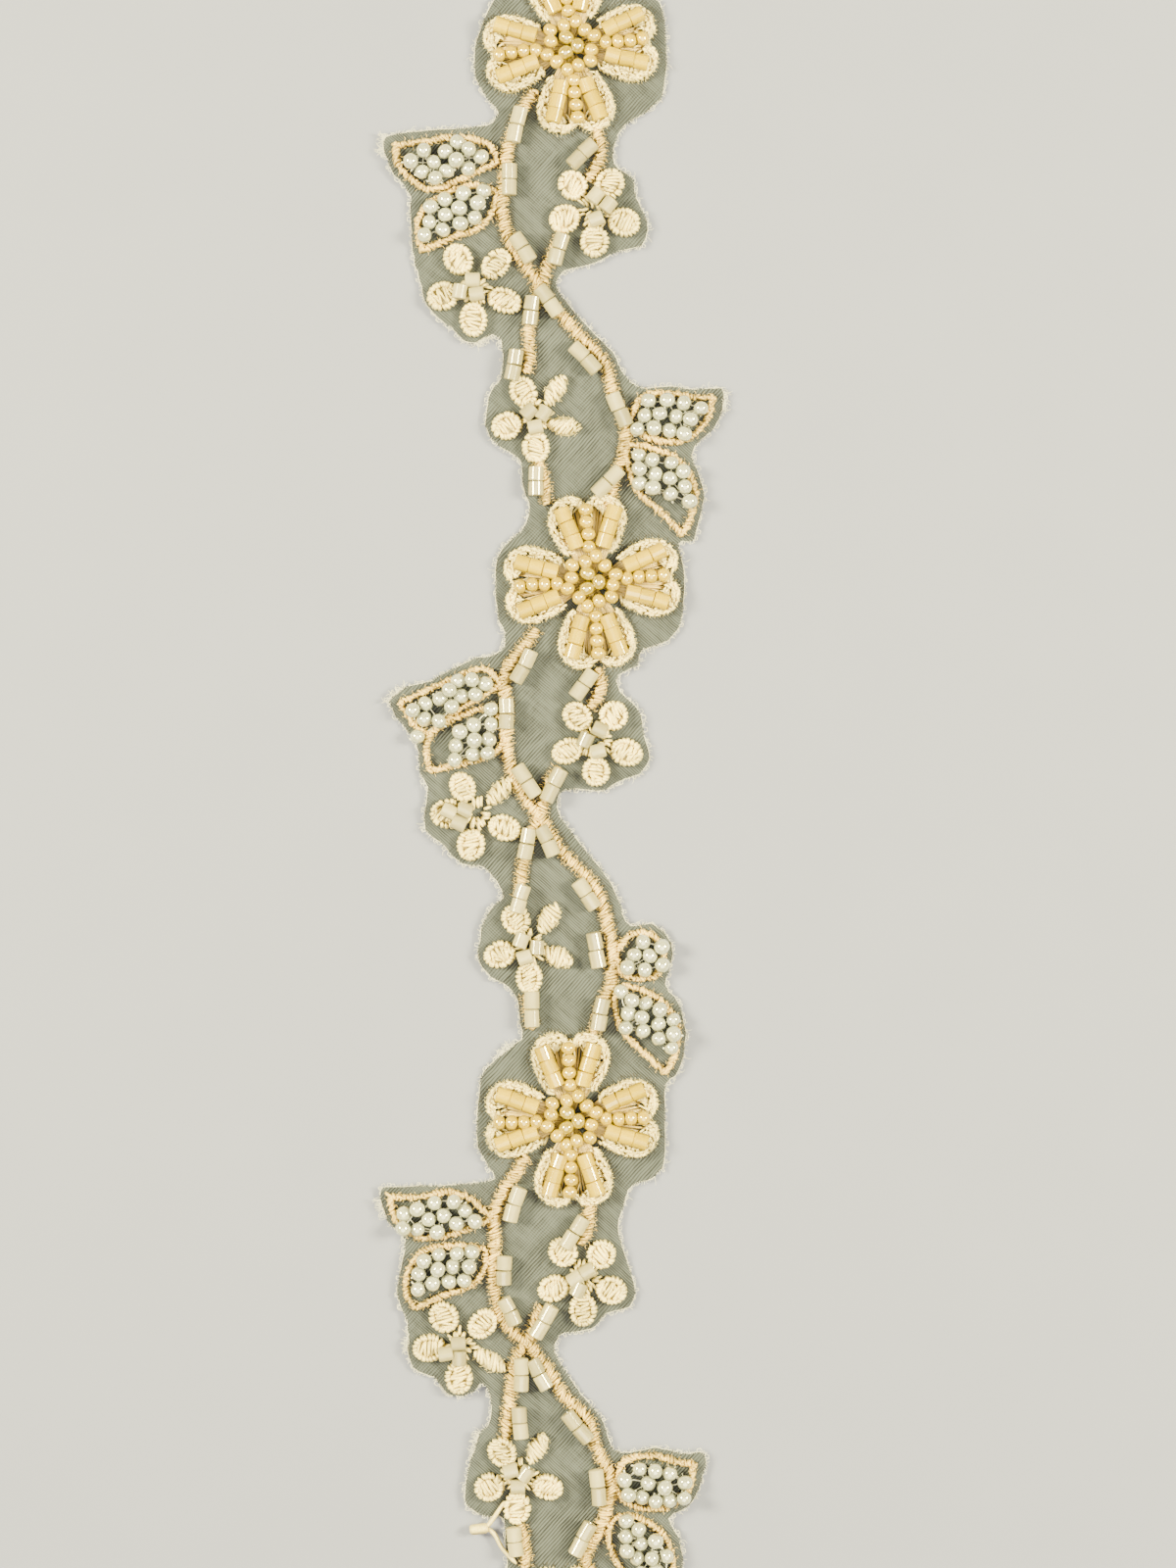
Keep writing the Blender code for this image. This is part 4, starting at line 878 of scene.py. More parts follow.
class TrimSizes(bpy.types.PropertyGroup):
    """Sizes of the threads and beads."""

    cord_width: FloatProperty(name="Cord width", description="Width of a vine's satin cord, mm",
                              default=1.6, min=1.0, max=4.0)
    cord_pitch: FloatProperty(name="Stitch pitch", description="Stitch to stitch on a cord, mm",
                              default=0.42, min=0.2, max=1.5)
    leaf_cord_width: FloatProperty(name="Leaf cord width",
                                   description="Width of the thread round a leaf, mm",
                                   default=0.98, min=0.5, max=2.0)
    pearl: FloatProperty(name="Pearl", description="Diameter of a leaf's pearls, mm",
                         default=2.3, min=1.0, max=3.0)
    tube: FloatProperty(name="Tube", description="Diameter of a tube bead, mm",
                        default=2.2, min=1.0, max=3.0)
    tube_length: FloatProperty(name="Tube length", description="Length of a tube bead, mm",
                               default=2.08, min=1.0, max=4.0)


class TrimColours(bpy.types.PropertyGroup):
    """Colours of the cloth, threads and beads."""

    organza: FloatVectorProperty(name="Organza", description="Sheer ground", subtype="COLOR",
                                 default=(0.022, 0.025, 0.026), min=0, max=1)
    ivory: FloatVectorProperty(name="Ivory thread", description="Flower embroidery",
                               subtype="COLOR", default=(1.0, 0.82, 0.33), min=0, max=1)
    peach: FloatVectorProperty(name="Peach thread", description="Vines and leaf outlines",
                               subtype="COLOR", default=(0.86, 0.60, 0.165), min=0, max=1)
    apricot: FloatVectorProperty(name="Apricot beads", description="Beads of the big flowers",
                                 subtype="COLOR", default=(0.45, 0.312, 0.0), min=0, max=1)
    off_white: FloatVectorProperty(name="Off-white tubes", description="Tube beads of the vines",
                                   subtype="COLOR", default=(0.275, 0.24, 0.13), min=0, max=1)
    pearl: FloatVectorProperty(name="Pearls", description="Pearls of the leaves",
                               subtype="COLOR", default=(0.41, 0.41, 0.32), min=0, max=1)
    clear: FloatVectorProperty(name="Clear beads", description="Middle beads of a big flower",
                               subtype="COLOR", default=(0.32, 0.228, 0.0), min=0, max=1)


def darker(colour, share):
    """A colour at a share of its brightness."""
    return tuple(part * share for part in colour)


def shared_materials():
    """Every material of the trim, made once from the colours."""
    colours = bpy.context.scene.trim_colours
    if "Ivory thread" not in bpy.data.materials:
        thread_material("Ivory thread", colours.ivory, darker(colours.ivory, 0.26))
        thread_material("Peach thread", colours.peach, darker(colours.peach, 0.24))
        # Darker peach than the ivory petals: painted shade and painted bead reflection between the
        # beads
        thread_material("Inner threads with painted shade", darker(colours.peach, 0.9), darker(colours.peach, 0.25))
        thread_material("Pale floss", (0.9, 0.88, 0.74), (0.5, 0.48, 0.38))
        # Each bead's second colour is its painted shade, for its sides and underside
        bead_material("Apricot beads", colours.apricot, darker(colours.apricot, 0.5), 0.35, 0.55,
                      (1.0, 0.95, 0.75))
        bead_material("Off-white tubes", colours.off_white, darker(colours.off_white, 0.66),
                      0.4, 0.5, (1.0, 0.98, 0.9), 1.6)
        bead_material("Pearls", colours.pearl, darker(colours.pearl, 0.5), 0.25, 1.0,
                      (1.0, 1.0, 0.94))
        bead_material("Clear beads", colours.clear, darker(colours.clear, 0.5), 0.15, 0.8,
                      (1.0, 0.97, 0.9))
        organza_material(colours.organza)
        # Near-black slits: the needle holes are real, their darkness is painted shade
        plain_material("Needle holes with painted shade", (0.035, 0.033, 0.028), 0.9)
        plain_material("Frayed yarn", (0.56, 0.54, 0.47), 0.7)
    return bpy.data.materials


# ---------------------------------------------------------------- operators

def outline_points(steps):
    """The cut edge as a smooth closed row of points."""
    points = [Vector(point) for point in OUTLINE_LEFT + OUTLINE_RIGHT]
    count = len(points)
    curve = []
    for i in range(count):
        curve += spline(*(points[(i + k) % count] for k in (-1, 0, 1, 2)), steps)
    return curve


def inside(point, outline):
    """Whether a point lies inside a closed outline."""
    within = False
    for a, b in zip(outline, outline[1:] + outline[:1]):
        if (a.y > point.y) != (b.y > point.y):
            if point.x < (b.x - a.x) * (point.y - a.y) / (b.y - a.y) + a.x:
                within = not within
    return within


class TRIM_OT_organza(bpy.types.Operator):
    """Lay the sheer ground, with its cut edge and its gentle waves"""

    bl_idname = "trim.organza"
    bl_label = "Organza ground"

    def execute(self, context):
        rng = random.Random(SEED)
        edge = outline_points(3)
        edge = [point + Vector((rng.uniform(-0.12, 0.12), rng.uniform(-0.12, 0.12)))
                for point in edge]
        low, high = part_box("organza_ground")
        columns = int((high[0] - low[0]) / MM / SHEET_SPACING)
        rows = int((high[1] - low[1]) / MM / SHEET_SPACING)
        inner = []
        for column in range(columns + 1):
            for row in range(rows + 1):
                shift = SHEET_SPACING / 2 if row % 2 else 0.0
                point = Vector((low[0] / MM + column * SHEET_SPACING + shift,
                                low[1] / MM + row * SHEET_SPACING)) + DESIGN_MIDDLE
                near = min((point - other).length_squared for other in edge)
                if near > 0.8 and inside(point, edge):
                    inner.append(point)
        count = len(edge)
        rim = [(i, (i + 1) % count) for i in range(count)]
        flat = delaunay_2d_cdt(edge + inner, rim, [], 1, 1e-6)
        bm = bmesh.new()
        verts = [bm.verts.new(put(point, 0.0)) for point in flat[0]]
        for face in flat[2]:
            bm.faces.new([verts[i] for i in face])
        for face in bm.faces:
            if face.normal.z < 0:
                face.normal_flip()
        area = sum(face.calc_area() for face in bm.faces)
        sheet = finish_piece(bm, "organza_sheet", "Sheer organza", nodes=("organza_ground",),
                             closed=False)
        self.fray(edge, rng)
        return {"FINISHED"}

    def fray(self, edge, rng):
        """Fine yarn ends and small loops along the cut edge."""
        bm = new_mesh()
        count = len(edge)
        for i in range(count):
            along = edge[(i + 1) % count] - edge[i]
            if along.length < 1e-6:
                continue
            outward = right_of(along).normalized()
            run = along.normalized()
            steps = max(1, round(along.length / 0.3))
            for k in range(steps):
                start = edge[i] + along * (k + rng.random()) / steps - outward * 0.2
                heading = turned(outward, rng.uniform(-55, 55))
                curl = rng.uniform(10, 50) * rng.choice((-1, 1))
                pace = rng.uniform(0.12, 0.27) * (1.8 if rng.random() < 0.08 else 1.0)
                height = 0.05
                route = []
                for _ in range(4):
                    route.append((start, height))
                    start = start + heading * pace
                    heading = turned(heading, curl)
                    height = max(-0.1, height + rng.uniform(-0.08, 0.12))
                lay(bm, rng, route, (0.05, 0.085), taper=0.6)
            if rng.random() < 0.7:
                base = edge[i] + along * rng.random() - outward * 0.1
                wide = rng.uniform(0.2, 0.45)
                tall = rng.uniform(0.2, 0.6)
                lay(bm, rng, [(base - run * wide, 0.04),
                              (base - run * wide * 0.6 + outward * tall, 0.12),
                              (base + run * wide * 0.5 + outward * tall, 0.14),
                              (base + run * wide, 0.04)], (0.08, 0.13), taper=0.8)
            if rng.random() < 0.4:
                continue
            lay(bm, rng, [(edge[i] - run * 0.1 - outward * 0.1, 0.06),
                          (edge[i] + along * 0.5 - outward * rng.uniform(0.0, 0.1), 0.1),
                          (edge[i] + along + run * 0.1 - outward * 0.1, 0.06)],
                (0.07, 0.12), taper=0.9)
        for spot in FRAYED_SPOTS:
            spot = Vector(spot)
            near = min(range(count), key=lambda i: (edge[i] - spot).length)
            run = (edge[(near + 1) % count] - edge[near - 1]).normalized()
            outward = right_of(run)
            for _ in range(26):
                start = edge[near] + run * rng.uniform(-1.5, 1.5) - outward * 0.3
                heading = turned(outward, rng.uniform(-60, 60))
                curl = rng.uniform(5, 35) * rng.choice((-1, 1))
                route = []
                for k in range(5):
                    route.append((start, 0.08 + 0.1 * k * rng.random()))
                    start = start + heading * rng.uniform(0.2, 0.42)
                    heading = turned(heading, curl)
                lay(bm, rng, route, (0.05, 0.09), taper=0.6)
        finish_piece(bm, "frayed_edge", "Frayed yarn")


def petal_edge(centre, quarter, rng):
    """Outer line of one petal of a big flower, from root to root."""
    x, y, turn = centre
    middle = turn + quarter * 90 + rng.uniform(-1.2, 1.2)
    grow = rng.uniform(0.985, 1.01)
    points = []
    for degrees, radius in reversed(HALF_PETAL[1:]):
        points.append(polar((x, y), radius * grow, middle - degrees))
    for degrees, radius in HALF_PETAL:
        points.append(polar((x, y), radius * grow, middle + degrees))
    return smooth(points, 6), middle


class TRIM_OT_flower_satin(bpy.types.Operator):
    """Work the buttonhole edge and the long stitches of every petal"""

    bl_idname = "trim.flower_satin"
    bl_label = "Big flowers, thread"

    def execute(self, context):
        for number, centre in FLOWERS.items():
            rng = random.Random(SEED + 20 + int(number))
            bm = new_mesh()
            inner = new_mesh()
            for quarter in range(4):
                edge, middle = petal_edge(centre, quarter, rng)
                self.purl(bm, edge, centre, rng)
                legs(bm, edge, 0.2, 0.6, 0.4, rng)
                fuzz(bm, edge, 1.0, (0.0,), rng)
                self.long_stitches(inner, centre, middle, rng)
            finish_piece(bm, f"petal_edges_{number}", "Ivory thread",
                         nodes=(f"flower_satin_{number}",))
            # The petal floor's colour is painted shade and painted bead reflection between the
            # beads
            finish_piece(inner, f"petal_floor_{number}", "Inner threads with painted shade")
        return {"FINISHED"}

    def purl(self, bm, edge, centre, rng):
        """Braided rim of fine stitches, with legs that run in from it."""
        heart = Vector(centre[:2])
        for point, along, share in paced(edge, 0.36):
            inward = Vector((-along.y, along.x))
            if inward.dot(heart - point) < 0:
                inward = -inward
            root = min(share, 1 - share)
            lean = turned(inward, rng.choice((-1, 1)) * rng.uniform(20, 60))
            start = point + inward * rng.uniform(-0.1, 0.14)
            sew(bm, rng, start, start + lean * rng.uniform(1.3, 2.0), (0.34, 0.5), (0.9, 1.3),
                (0.4, 1.0), 0.1)
            for deep in (rng.uniform(0.15, 0.6), rng.uniform(0.6, 1.3)):
                knot = point + inward * deep + along * rng.uniform(-0.2, 0.2)
                lean = turned(along, rng.uniform(-30, 30))
                half = rng.uniform(0.3, 0.5)
                sew(bm, rng, knot - lean * half, knot + lean * half, (0.3, 0.44), (1.2, 1.6),
                    (0.5, 1.0), 0.6)
            if root < 0.1 and rng.random() < 0.5:
                continue
            reach = rng.uniform(1.0, 1.9) * (0.5 if root < 0.12 else 1.0)
            heading = turned(inward, rng.uniform(-12, 12))
            start = point + inward * 1.2
            sew(bm, rng, start, start + heading * reach, (0.2, 0.32), (0.9, 1.3), (0.3, 1.0), 0.3)

    def long_stitches(self, bm, centre, middle, rng):
        """Threads along the petal, under the beads, in a darker peach: painted shade and bead
        reflection.
        """
        for step in range(-24, 25):
            degrees = middle + step * 1.35 + rng.uniform(-0.5, 0.5)
            first = 0.6 + rng.uniform(0.0, 2.6)
            last = 11.0 - 0.019 * abs(step) ** 1.5 + rng.uniform(-0.6, 0.3)
            start = polar(centre, first, degrees)
            end = polar(centre, last, degrees + rng.uniform(-1.0, 1.0))
            lay(bm, rng, [(start, 0.3), (start.lerp(end, 0.3), 0.66),
                          (start.lerp(end, 0.7), 0.66), (end, 0.25)], (0.25, 0.4))


class TRIM_OT_flower_beads(bpy.types.Operator):
    """Thread the spokes and the heart of every big flower"""

    bl_idname = "trim.flower_beads"
    bl_label = "Big flowers, beads"

    def execute(self, context):
        sizes = context.scene.trim_sizes
        tube = tube_bead_pattern(sizes.tube * FLOWER_TUBE, sizes.tube_length)
        ball = round_bead_pattern(*ROUND_BEAD)
        for number, centre in FLOWERS.items():
            rng = random.Random(SEED + 40 + int(number))
            x, y, turn = centre
            bm = new_mesh()
            for quarter in range(4):
                middle = turn + quarter * 90
                for lean, radii in TUBE_SPOKES:
                    lean += rng.uniform(-2.5, 2.5)
                    for radius in radii:
                        heading = direction(middle + lean + rng.uniform(-4, 4))
                        where = polar((x, y), radius + rng.uniform(-0.05, 0.05), middle + lean)
                        height = SPOKE_TUBE_HEIGHT + rng.uniform(-0.06, 0.06)
                        set_bead(bm, rng, tube, where, height, heading, 0.8, 0.05,
                                 satin=lambda: rng.choice((0.25, 0.7, 0.9, 1.0)))
                lean = rng.uniform(-2.0, 2.0)
                for radius in ROUND_SPOKE:
                    heading = direction(middle + lean + rng.uniform(-14, 14))
                    where = polar((x, y), radius, middle + lean + rng.uniform(-0.8, 0.8))
                    height = SPOKE_ROUND_HEIGHT + rng.uniform(-0.08, 0.1)
                    set_bead(bm, rng, ball, where, height, heading, 3, 0.15)
            radius, count = HEART_RING
            for i in range(count):
                degrees = turn + (i + 0.5) * 360 / count + rng.uniform(-3, 3)
                where = polar((x, y), radius + (0.32, -0.3)[i % 2] + rng.uniform(-0.1, 0.1),
                              degrees)
                heading = direction(degrees + 90)
                height = RING_HEIGHT + rng.uniform(-0.1, 0.15)
                set_bead(bm, rng, ball, where, height, heading, 3, 0.2)
            finish_piece(bm, f"bead_spokes_{number}", "Apricot beads",
                         nodes=(f"flower_beads_{number}",), faceted=True)
            clear = new_mesh()
            for i, (dx, dy) in enumerate(HEART_MIDDLE):
                where = Vector((x + dx, y + dy))
                add_copy(clear, ball, bead_matrix(where, HEART_HEIGHT, direction(60 + i * 120),
                                                  0.0, 0.1, (1.1, 1.1)), rng.random())
            finish_piece(clear, f"heart_beads_{number}", "Clear beads")
        return {"FINISHED"}


class TRIM_OT_blossoms(bpy.types.Operator):
    """Work the five padded petals of every small flower"""

    bl_idname = "trim.blossoms"
    bl_label = "Small flowers, thread"

    def execute(self, context):
        for index, (name, centre) in enumerate(BLOSSOMS.items()):
            rng = random.Random(SEED + 60 + index)
            bm = new_mesh()
            for petal in BLOSSOM_PETALS[name]:
                self.petal(bm, centre, petal, rng)
            self.roots(bm, centre, rng)
            finish_piece(bm, f"satin_petals_{name}", "Ivory thread",
                         nodes=(f"blossom_satin_{name}",))
        return {"FINISHED"}

    def petal(self, bm, centre, petal, rng):
        """One oval petal: a padded heart, a knotted rim and slanting satin stitches."""
        degrees, radius, half_out, half_across = petal
        half_out, half_across = half_out * PETAL_DRAW, half_across * PETAL_DRAW
        middle = polar(centre, radius, degrees)
        outward = direction(degrees)
        across = turned(outward, 90)
        slim = half_across < SLIM_PETAL * PETAL_DRAW
        loops = []
        for size, height in ((0.9, 0.05), (0.86, 0.3), (0.6, 0.5), (0.2, 0.55)):
            loops.append([put(middle + outward * (math.cos(a) * half_out * size)
                              + across * (math.sin(a) * half_across * size), height)
                          for a in (math.tau * k / 12 for k in range(12))])
        # Painted shade: the padded heart takes near the thread's darkest tone, dark between the
        # stitches
        skin(bm, loops, 0.1)
        count = 0 if slim else 22
        for k in range(count):
            a = math.tau * (k + rng.uniform(-0.25, 0.25)) / count
            ray = outward * math.cos(a) * half_out + across * math.sin(a) * half_across
            lean = turned(ray.normalized(), rng.uniform(15, 50))
            knot = middle + ray * 0.86
            sew(bm, rng, knot - lean * 0.5, knot + lean * 0.5, (0.46, 0.62), (1.05, 1.45),
                (0.55, 1.0), 0.1)
        rim = [middle + outward * math.cos(a) * half_out + across * math.sin(a) * half_across
               for a in (math.tau * k / 16 for k in range(17))]
        fuzz(bm, rim, 0.8, (0.0,), rng)
        slant = rng.uniform(8, 32) * rng.choice((-1, 1))
        run = turned(across, slant)
        pitch = 0.5
        count = round(2 * half_out * (1.0 if slim else 0.78) / pitch)
        for k in range(count):
            off = (k - (count - 1) / 2) * pitch + rng.uniform(-0.05, 0.05)
            reach = math.sqrt(max(0.05, 1.0 - (off / half_out) ** 2))
            half = half_across * reach * rng.uniform(0.92, 1.06) * (1.0 if slim else 0.8)
            base = middle + outward * off
            tip = turned(run, rng.uniform(-16, 16))
            sew(bm, rng, base - tip * half, base + tip * half, (0.36, 0.52), (1.1, 1.5),
                (0.45, 1.0), 0.15)
            if rng.random() < 0.55:
                knot = base + across * half * rng.uniform(-0.6, 0.6)
                tip = turned(run, rng.uniform(-50, 50))
                sew(bm, rng, knot - tip * 0.45, knot + tip * 0.45, (0.3, 0.42), (1.4, 1.7),
                    (0.6, 1.0), 0.8)

    def roots(self, bm, centre, rng):
        """Short stitches that join the petals in the middle."""
        for step in range(30):
            degrees = step * 360 / 30 + rng.uniform(-8, 8)
            start = polar(centre, rng.uniform(0.3, 1.6), degrees)
            heading = direction(degrees + rng.uniform(-40, 40))
            sew(bm, rng, start, start + heading * rng.uniform(1.1, 1.7), (0.36, 0.5), (0.6, 1.0),
                (0.2, 1.0))


class TRIM_OT_blossom_tubes(bpy.types.Operator):
    """Set the three tube beads of every small flower"""

    bl_idname = "trim.blossom_tubes"
    bl_label = "Small flowers, tubes"

    def execute(self, context):
        sizes = context.scene.trim_sizes
        tube = tube_bead_pattern(sizes.tube * BLOSSOM_TUBE, sizes.tube_length)
        for index, (name, places) in enumerate(BLOSSOM_TUBES.items()):
            rng = random.Random(SEED + 80 + index)
            x, y = BLOSSOMS[name]
            bm = new_mesh()
            for dx, dy, degrees in places:
                heading = direction(degrees + rng.uniform(-4, 4))
                height = BLOSSOM_TUBE_HEIGHT + rng.uniform(-0.08, 0.12)
                set_bead(bm, rng, tube, (x + dx, y + dy), height, heading, 0.8, 0.08,
                         satin=lambda: rng.uniform(0.5, 1.0))
            finish_piece(bm, f"middle_tubes_{name}", "Off-white tubes",
                         nodes=(f"blossom_tubes_{name}",), faceted=True)
        return {"FINISHED"}


class TRIM_OT_leaf_cords(bpy.types.Operator):
    """Couch the twisted thread round every leaf"""

    bl_idname = "trim.leaf_cords"
    bl_label = "Leaves, thread"

    def execute(self, context):
        sizes = context.scene.trim_sizes
        for index, (name, leaf) in enumerate(LEAVES.items()):
            rng = random.Random(SEED + 100 + index)
            bm = new_mesh()
            path = leaf_path(leaf, 6)
            satin_cord(bm, path, sizes.leaf_cord_width, 0.95, 0.5, 42, rng, 1.6)
            half = sizes.leaf_cord_width / 2
            fuzz(bm, path, 1.1, (half, -half), rng)
            finish_piece(bm, f"leaf_thread_{name}", "Peach thread",
                         nodes=(f"leaf_cord_{name}",))
        return {"FINISHED"}


def push_apart(beads, gap, share, lift=None):
    """Move every two beads that are closer than a gap a little away from each other."""
    for a, b in itertools.combinations(beads, 2):
        apart = b - a
        if 1e-6 < apart.length < gap:
            push = apart.normalized() * (gap - apart.length) * share
            if lift:
                push.z *= lift
            a -= push
            b += push


def settle(points, gap):
    """Spread beads over the cloth until hardly any two overlap from above."""
    beads = [Vector(point) for point in points]
    for _ in range(40):
        push_apart(beads, gap, 0.25)
    return beads


def nest(places, gap, low, high):
    """Lay round beads among each other: crowded ones ride up over their neighbours."""
    beads = [Vector((x, y, low + (0.5 if number % 2 else 0.0)))
             for number, (x, y) in enumerate(places)]
    homes = [Vector((x, y)) for x, y in places]
    for _ in range(120):
        push_apart(beads, gap, 0.5, 1.6)
        for bead, home in zip(beads, homes):
            bead.z = min(max(bead.z, low), high)
            bead.xy = bead.xy.lerp(home, 0.015)
    return beads


class TRIM_OT_leaf_pearls(bpy.types.Operator):
    """Fill every leaf with pearls"""

    bl_idname = "trim.leaf_pearls"
    bl_label = "Leaves, pearls"

    def execute(self, context):
        pearl = round_bead_pattern(context.scene.trim_sizes.pearl,
                                   context.scene.trim_sizes.pearl * 0.94)
        threads = new_mesh()
        for index, (name, places) in enumerate(PEARLS.items()):
            rng = random.Random(SEED + 120 + index)
            bm = new_mesh()
            links = []
            for bead in nest(settle(places, PEARL_SPREAD), PEARL_GAP, *PEARL_HEIGHTS):
                heading = direction(rng.uniform(0, 180))
                size = rng.uniform(0.93, 1.04)
                set_bead(bm, rng, pearl, bead.xy, bead.z, heading, 3, 0.3, (size, size))
                links.append(bead.xy)
            self.tie(threads, links, rng)
            finish_piece(bm, f"pearls_{name}", "Pearls",
                         nodes=(f"leaf_pearls_{name}",))
        finish_piece(threads, "pearl_threads", "Pale floss")
        return {"FINISHED"}

    def tie(self, bm, places, rng):
        """Threads that run from pearl to pearl, and short ones down into the cloth."""
        for place in places:
            for _ in range(7):
                heading = direction(rng.uniform(0, 180))
                start = place + polar((0, 0), rng.uniform(0.2, 0.9), rng.uniform(0, 360))
                crown = rng.uniform(0.6, 1.05)
                half = rng.uniform(0.35, 0.6)
                lay(bm, rng, [(start - heading * half, crown * 0.8), (start, crown),
                              (start + heading * half, crown * 0.8)],
                    (0.26, 0.4), (0.5, 1.0), 0.8)
        for i, place in enumerate(places):
            others = sorted(places[:i] + places[i + 1:], key=lambda other: (other - place).length)
            for other in others[:3]:
                off = Vector((rng.uniform(-0.25, 0.25), rng.uniform(-0.25, 0.25)))
                middle = (place + other) / 2 + off
                lay(bm, rng, [(place, 0.8), (middle, rng.uniform(0.25, 0.6)), (other, 0.8)],
                    (0.14, 0.22), (0.5, 1.0), 0.9)
            for _ in range(3):
                heading = direction(rng.uniform(0, 360))
                lay(bm, rng, [(place + heading * 0.4, 0.5), (place + heading * 0.8, 0.25),
                              (place + heading * rng.uniform(1.0, 1.25), 0.05)],
                    (0.12, 0.18), taper=0.7)


class TRIM_OT_vines(bpy.types.Operator):
    """Work the satin cords of the vines and set the tube beads on them"""

    bl_idname = "trim.vines"
    bl_label = "Vines"

    def execute(self, context):
        sizes = context.scene.trim_sizes
        tube = tube_bead_pattern(sizes.tube, sizes.tube_length)
        routes = {}
        for number, route in MAIN_CORDS.items():
            routes[f"vine_{number}"] = (route, SIDE_CORDS[number])
        for name, route in SHORT_CORDS.items():
            routes[f"short_cord_{name}"] = (route,)
        for index, (name, cords) in enumerate(routes.items()):
            rng = random.Random(SEED + 140 + index)
            bm = new_mesh()
            for order, route in enumerate(cords):
                crest = 1.25 - 0.12 * order
                path = smooth(route, 8)
                satin_cord(bm, path, sizes.cord_width, crest, sizes.cord_pitch,
                           22 if order == 0 else -20, rng, 0.8)
                half = sizes.cord_width / 2
                fuzz(bm, path, 0.75, (half, -half), rng)
                legs(bm, path, half + 0.15, 0.55, 0.5, rng)
                legs(bm, path, -half - 0.15, 0.55, 0.5, rng)
            finish_piece(bm, f"satin_{name}", "Peach thread", nodes=(name,))
            self.tubes(name, tube, rng)
        return {"FINISHED"}

    def tubes(self, name, tube, rng):
        """The pairs of tube beads on one cord."""
        bm = new_mesh()
        for owner, first, second in TUBE_PAIRS:
            if owner != name:
                continue
            first, second = Vector(first), Vector(second)
            middle = (first + second) / 2
            heading = (second - first).normalized()
            pace = min(2.6, max(2.1, (second - first).length))
            for side in (-0.5, 0.5):
                where = middle + heading * side * pace
                height = VINE_TUBE_HEIGHT + rng.uniform(-0.05, 0.08)
                set_bead(bm, rng, tube, where, height, turned(heading, rng.uniform(-4, 4)),
                         0.8, 0.06, (1.0, pace / 2.14),
                         lambda: rng.choice((0.3, 0.7, 1.0, 1.0)))
        finish_piece(bm, f"tubes_{name}", "Off-white tubes", faceted=True)


class TRIM_OT_needle_holes(bpy.types.Operator):
    """Prick the rows of needle holes along the stitching, as near-black slits of painted shade"""

    bl_idname = "trim.needle_holes"
    bl_label = "Needle holes with painted shade"

    def execute(self, context):
        rng = random.Random(SEED + 170)
        bm = new_mesh()
        cord = context.scene.trim_sizes.cord_width / 2
        for table in (MAIN_CORDS, SIDE_CORDS, SHORT_CORDS):
            for route in table.values():
                for sign in (-1, 1):
                    self.row(bm, smooth(route, 6), sign * (cord + 0.42), 0.4, 0.85, rng)
        for centre in FLOWERS.values():
            for quarter in range(4):
                edge, _ = petal_edge(centre, quarter, random.Random(0))
                self.row(bm, edge, 0.42, 0.42, 0.75, rng)
        finish_piece(bm, "needle_holes", "Needle holes with painted shade")
        return {"FINISHED"}

    def row(self, bm, path, off, pitch, chance, rng):
        """One row of short flat slits beside a path."""
        for point, along, _ in paced(path, pitch):
            if rng.random() > chance:
                continue
            side = right_of(along)
            where = point + side * off
            lean = turned(side, rng.uniform(-25, 25))
            across = right_of(lean) * rng.uniform(0.06, 0.12)
            half = rng.uniform(0.15, 0.32)
            loops = []
            for way, share in ((-1.0, 0.3), (-0.3, 1.0), (0.4, 0.8), (1.0, 0.2)):
                spot = where + lean * half * way
                loops.append([put(spot - across * share, 0.02), put(spot, 0.0),
                              put(spot + across * share, 0.02), put(spot, 0.035)])
            skin(bm, loops, 0.5)


class TRIM_OT_loose_thread(bpy.types.Operator):
    """Leave the forked thread end beside the last small flower"""

    bl_idname = "trim.loose_thread"
    bl_label = "Loose thread"

    def execute(self, context):
        bm = new_mesh()
        for route in LOOSE_THREAD:
            path = smooth(route, 5)
            thread(bm, [(point, 0.55) for point in path], 0.62, 0.8)
        start, end = (Vector(point) for point in LOOSE_BLOB)
        thread(bm, [(start, 0.6), (start.lerp(end, 0.15), 0.75), (start.lerp(end, 0.5), 0.8),
                    (start.lerp(end, 0.85), 0.72), (end, 0.6)], 1.5, 0.7, 0.75)
        finish_piece(bm, "loose_thread", "Ivory thread")
        return {"FINISHED"}


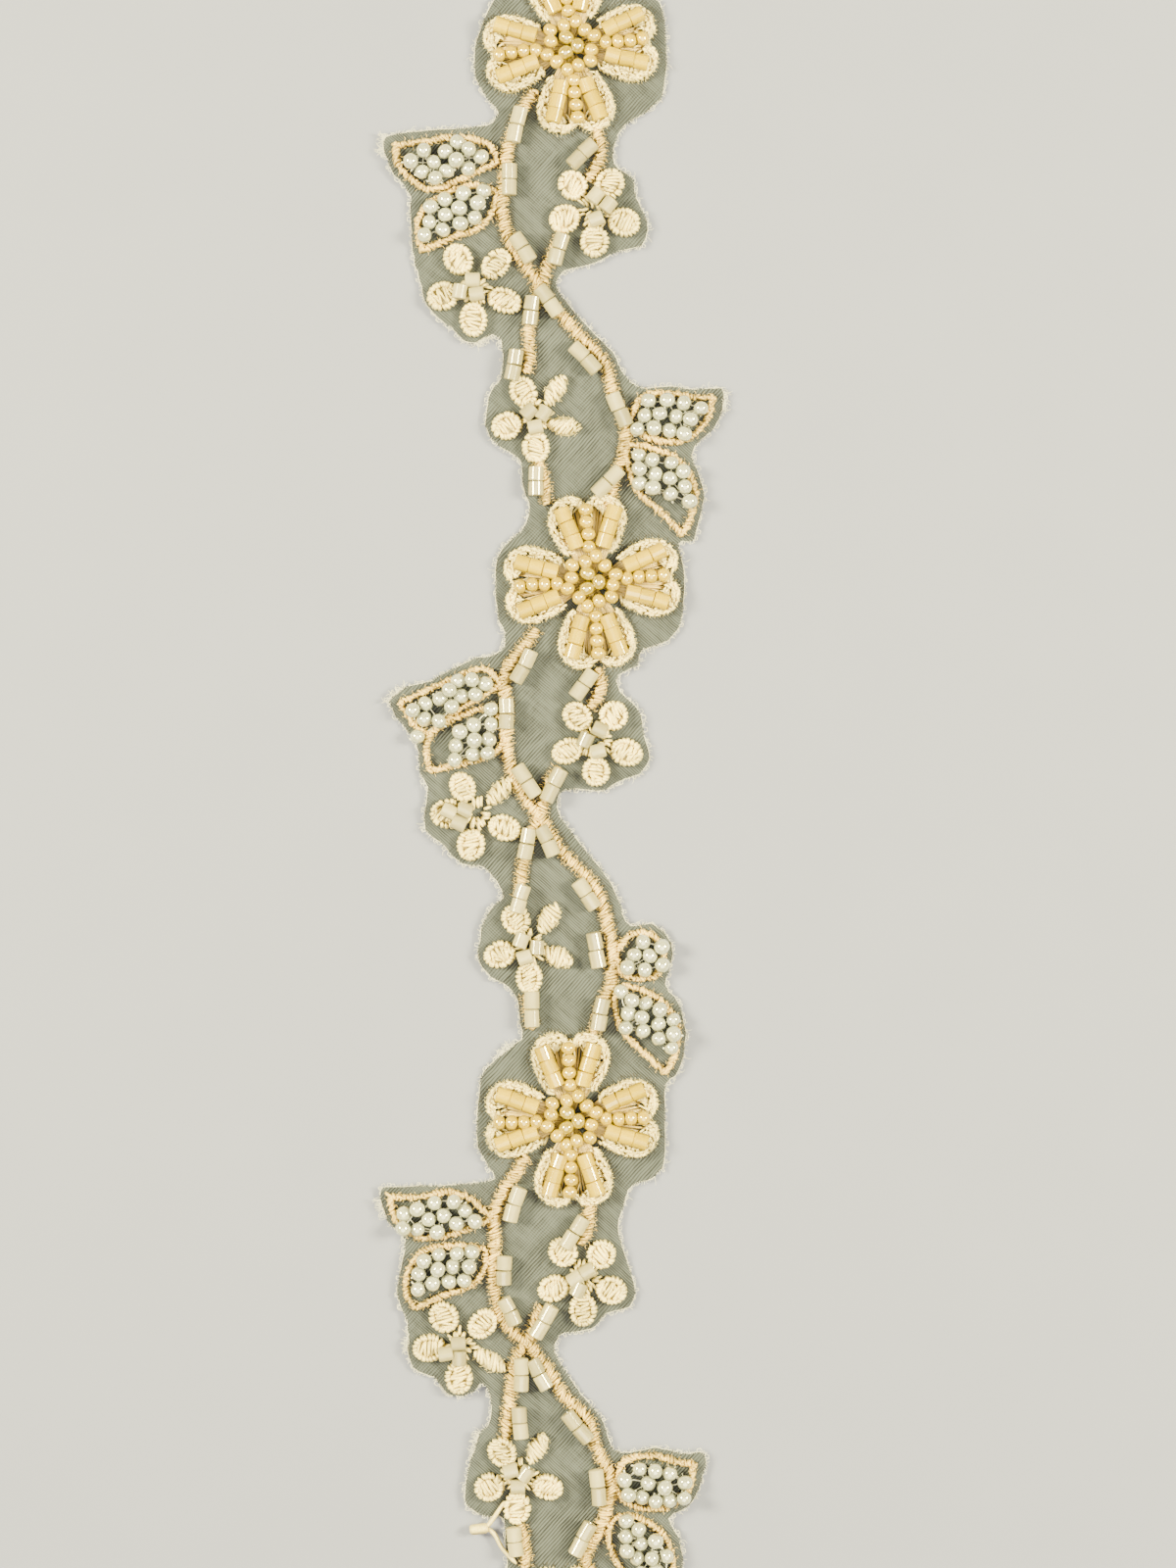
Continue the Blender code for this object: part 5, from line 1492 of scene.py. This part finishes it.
class TRIM_OT_stage(bpy.types.Operator):
    """Set the floor, the lamps and the camera"""

    bl_idname = "trim.stage"
    bl_label = "Stage"

    def execute(self, context):
        start_primitive()
        bpy.ops.mesh.primitive_plane_add(size=FLOOR_SIZE, location=(0, 0, -FLOOR_DROP))
        floor = context.object
        floor.name = "floor"
        floor.data.materials.append(plain_material("Pale floor", (0.19, 0.2, 0.29), 0.8))
        bpy.ops.object.transform_apply(location=True, rotation=True, scale=True)
        for name, place, size, power in LAMPS:
            turn = (AIM - Vector(place)).to_track_quat("-Z", "Y").to_euler()
            lamp = self.lamp(name, "AREA", power, LAMP_COLOUR, turn, place)
            lamp.shape = "DISK"
            lamp.size = size
        sky = self.lamp("lamp_sky", "SUN", 4.5, (1.0, 0.93, 0.66), (math.radians(20), 0.0, 0.0))
        sky.angle = math.radians(60)
        world = bpy.data.worlds.new("Studio")
        world.use_nodes = True
        wire(world.node_tree, world.node_tree.nodes["Background"],
             {"Color": (1.0, 0.94, 0.66, 1.0), "Strength": 0.22}, {})
        context.scene.world = world
        data = bpy.data.cameras.new("camera")
        data.sensor_fit = "VERTICAL"
        data.sensor_height = 36.0
        data.lens = data.sensor_height * (CAMERA_HEIGHT - VIEW_LEVEL) / VIEW_HEIGHT
        context.scene.camera = add_object("camera", data, (AIM.x, AIM.y, CAMERA_HEIGHT))
        return {"FINISHED"}

    def lamp(self, name, kind, power, colour, turn, place=(0.0, 0.0, 0.0)):
        """Hang one lamp."""
        light = bpy.data.lights.new(name, kind)
        light.energy = power
        light.color = colour
        add_object(name, light, place, turn)
        return light


class TRIM_PT_panel(bpy.types.Panel):
    """Buttons for every group of pieces"""

    bl_label = "Beaded vine trim"
    bl_idname = "TRIM_PT_panel"
    bl_space_type = "VIEW_3D"
    bl_region_type = "UI"
    bl_category = "Trim"

    def draw(self, context):
        column = self.layout.column()
        for operator in OPERATORS:
            column.operator(operator.bl_idname)
        for group in (context.scene.trim_sizes, context.scene.trim_colours):
            for name in group.__annotations__:
                column.prop(group, name)


OPERATORS = (TRIM_OT_organza, TRIM_OT_needle_holes, TRIM_OT_vines, TRIM_OT_leaf_cords,
             TRIM_OT_leaf_pearls, TRIM_OT_flower_satin, TRIM_OT_flower_beads, TRIM_OT_blossoms,
             TRIM_OT_blossom_tubes, TRIM_OT_loose_thread, TRIM_OT_stage)
CLASSES = (TrimSizes, TrimColours) + OPERATORS + (TRIM_PT_panel,)


def register():
    """Register the classes and the settings."""
    for made in CLASSES:
        bpy.utils.register_class(made)
    bpy.types.Scene.trim_sizes = PointerProperty(type=TrimSizes)
    bpy.types.Scene.trim_colours = PointerProperty(type=TrimColours)


def unregister():
    """Remove the settings and the classes."""
    del bpy.types.Scene.trim_colours
    del bpy.types.Scene.trim_sizes
    for made in reversed(CLASSES):
        bpy.utils.unregister_class(made)


def main():
    """Make every piece in order."""
    register()
    bpy.ops.trim.organza()
    bpy.ops.trim.needle_holes()
    bpy.ops.trim.vines()
    bpy.ops.trim.leaf_cords()
    bpy.ops.trim.leaf_pearls()
    bpy.ops.trim.flower_satin()
    bpy.ops.trim.flower_beads()
    bpy.ops.trim.blossoms()
    bpy.ops.trim.blossom_tubes()
    bpy.ops.trim.loose_thread()
    bpy.ops.trim.stage()


if __name__ == "__main__":
    main()
